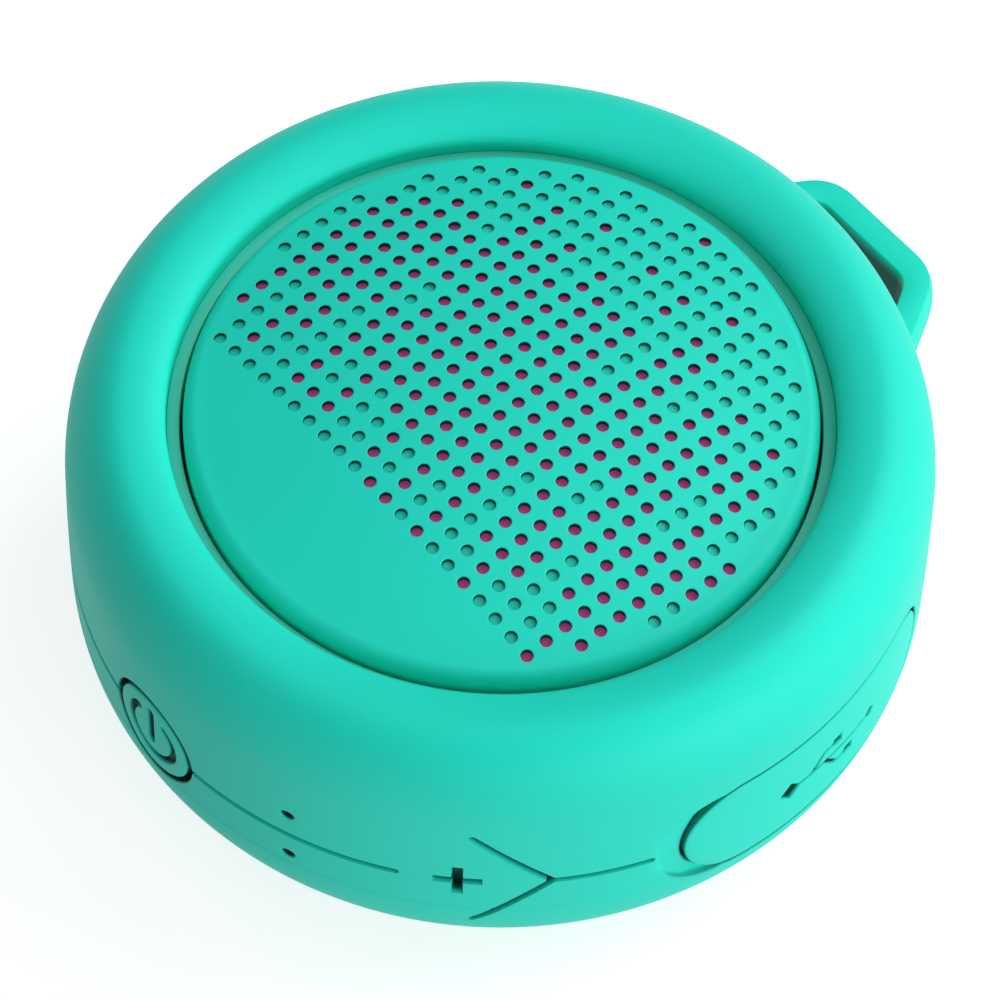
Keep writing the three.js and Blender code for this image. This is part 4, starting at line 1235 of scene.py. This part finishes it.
def add_area_light(name, position, target, width, power, height=None):
    """A soft rectangular light, in metres and watts."""
    light = bpy.data.lights.new(name, "AREA")
    light.shape = "RECTANGLE"
    light.size = width
    light.size_y = height or width
    light.energy = power
    lamp = bpy.data.objects.new(name, light)
    lamp.location = position
    aim = Vector(target) - Vector(position)
    lamp.rotation_euler = aim.to_track_quat("-Z", "Y").to_euler()
    bpy.context.collection.objects.link(lamp)


def around(bearing, distance, height):
    angle = math.radians(bearing)
    return (distance * math.sin(angle), -distance * math.cos(angle), height)


def add_lights():
    centre = (0, 0, 0.02)
    add_area_light("key_behind", around(166, 1.2, 1.0), centre, 1.4, 16.0)
    add_area_light("key_right", around(92, 1.2, 0.21), centre, 0.8, 8.1, 0.36)
    add_area_light("fill_above", (0, 0, 1.3), centre, 1.0, 1.6)
    world = bpy.data.worlds.new("studio")
    world.use_nodes = True
    world.node_tree.nodes["Background"].inputs["Color"].default_value = (1, 1, 1, 1)
    world.node_tree.nodes["Background"].inputs["Strength"].default_value = 0.31
    bpy.context.scene.world = world
    bpy.context.scene.view_settings.view_transform = "Standard"


def add_camera():
    azimuth, elevation, roll = map(
        math.radians, (CAMERA_AZIMUTH, CAMERA_ELEVATION, CAMERA_ROLL)
    )
    back = Vector((
        math.sin(azimuth) * math.cos(elevation),
        -math.cos(azimuth) * math.cos(elevation),
        math.sin(elevation),
    ))
    right = Vector((math.cos(azimuth), math.sin(azimuth), 0))
    up = back.cross(right)
    apex = Vector((0, 0, GRILLE_APEX))
    place = apex + CAMERA_SIDE * right + CAMERA_RISE * up + CAMERA_DISTANCE * back
    tilted_right = math.cos(roll) * right + math.sin(roll) * up
    tilted_up = math.cos(roll) * up - math.sin(roll) * right
    data = bpy.data.cameras.new("camera")
    data.lens = CAMERA_LENS
    data.sensor_width = 36
    data.clip_start = 0.01
    data.clip_end = 50
    camera = bpy.data.objects.new("camera", data)
    turn = Matrix((tilted_right, tilted_up, back)).transposed().to_4x4()
    camera.matrix_world = Matrix.Translation(place * MM) @ turn
    bpy.context.collection.objects.link(camera)
    bpy.context.scene.camera = camera


# ---- assembly

def add_piece(piece, material, body, slot, *nodes):
    piece.data.materials.clear()
    piece.data.materials.append(material)
    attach(piece, body)
    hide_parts(*nodes)


def dress_cad_nodes(materials):
    """Gives every CAD node the material of its slot."""
    slot_of = {
        entry["node"]: entry["material_slot"] for entry in frame["record"]["subparts"]
    }
    for name, node in frame["nodes"].items():
        node.data.materials.clear()
        node.data.materials.append(materials[slot_of[name]])


def build():
    materials = build_materials()
    dress_cad_nodes(materials)
    silicone = materials["silicone"]
    skin = silicone_sleeve()
    boolean(skin, strap_loop(), "UNION")
    tidy_mesh(skin, SKIN_CREASE)
    store_painted_shade(skin, sleeve_painted_shade)
    add_piece(skin, silicone, "speaker_body", "silicone", "silicone_sleeve")
    add_piece(port_cover(), silicone, "port_cover", "silicone", "port_cover")
    add_piece(power_button(), silicone, "power_button", "silicone", "power_button")
    plastic = materials["grille_plastic"]
    add_piece(grille_panel(), plastic, "speaker_body", "grille_plastic", "grille_panel")
    ring_plastic = materials["ring_plastic"]
    add_piece(grille_ring(), ring_plastic, "speaker_body", "grille_plastic", "grille_ring")
    cloth = acoustic_cloth()
    add_piece(cloth, materials["acoustic_cloth"], "speaker_body", "acoustic_cloth", "acoustic_cloth")
    add_piece(foot_pad(), materials["foot_rubber"], "speaker_body", "foot_rubber", "foot_pad")
    add_floor()
    add_lights()
    add_camera()


build()
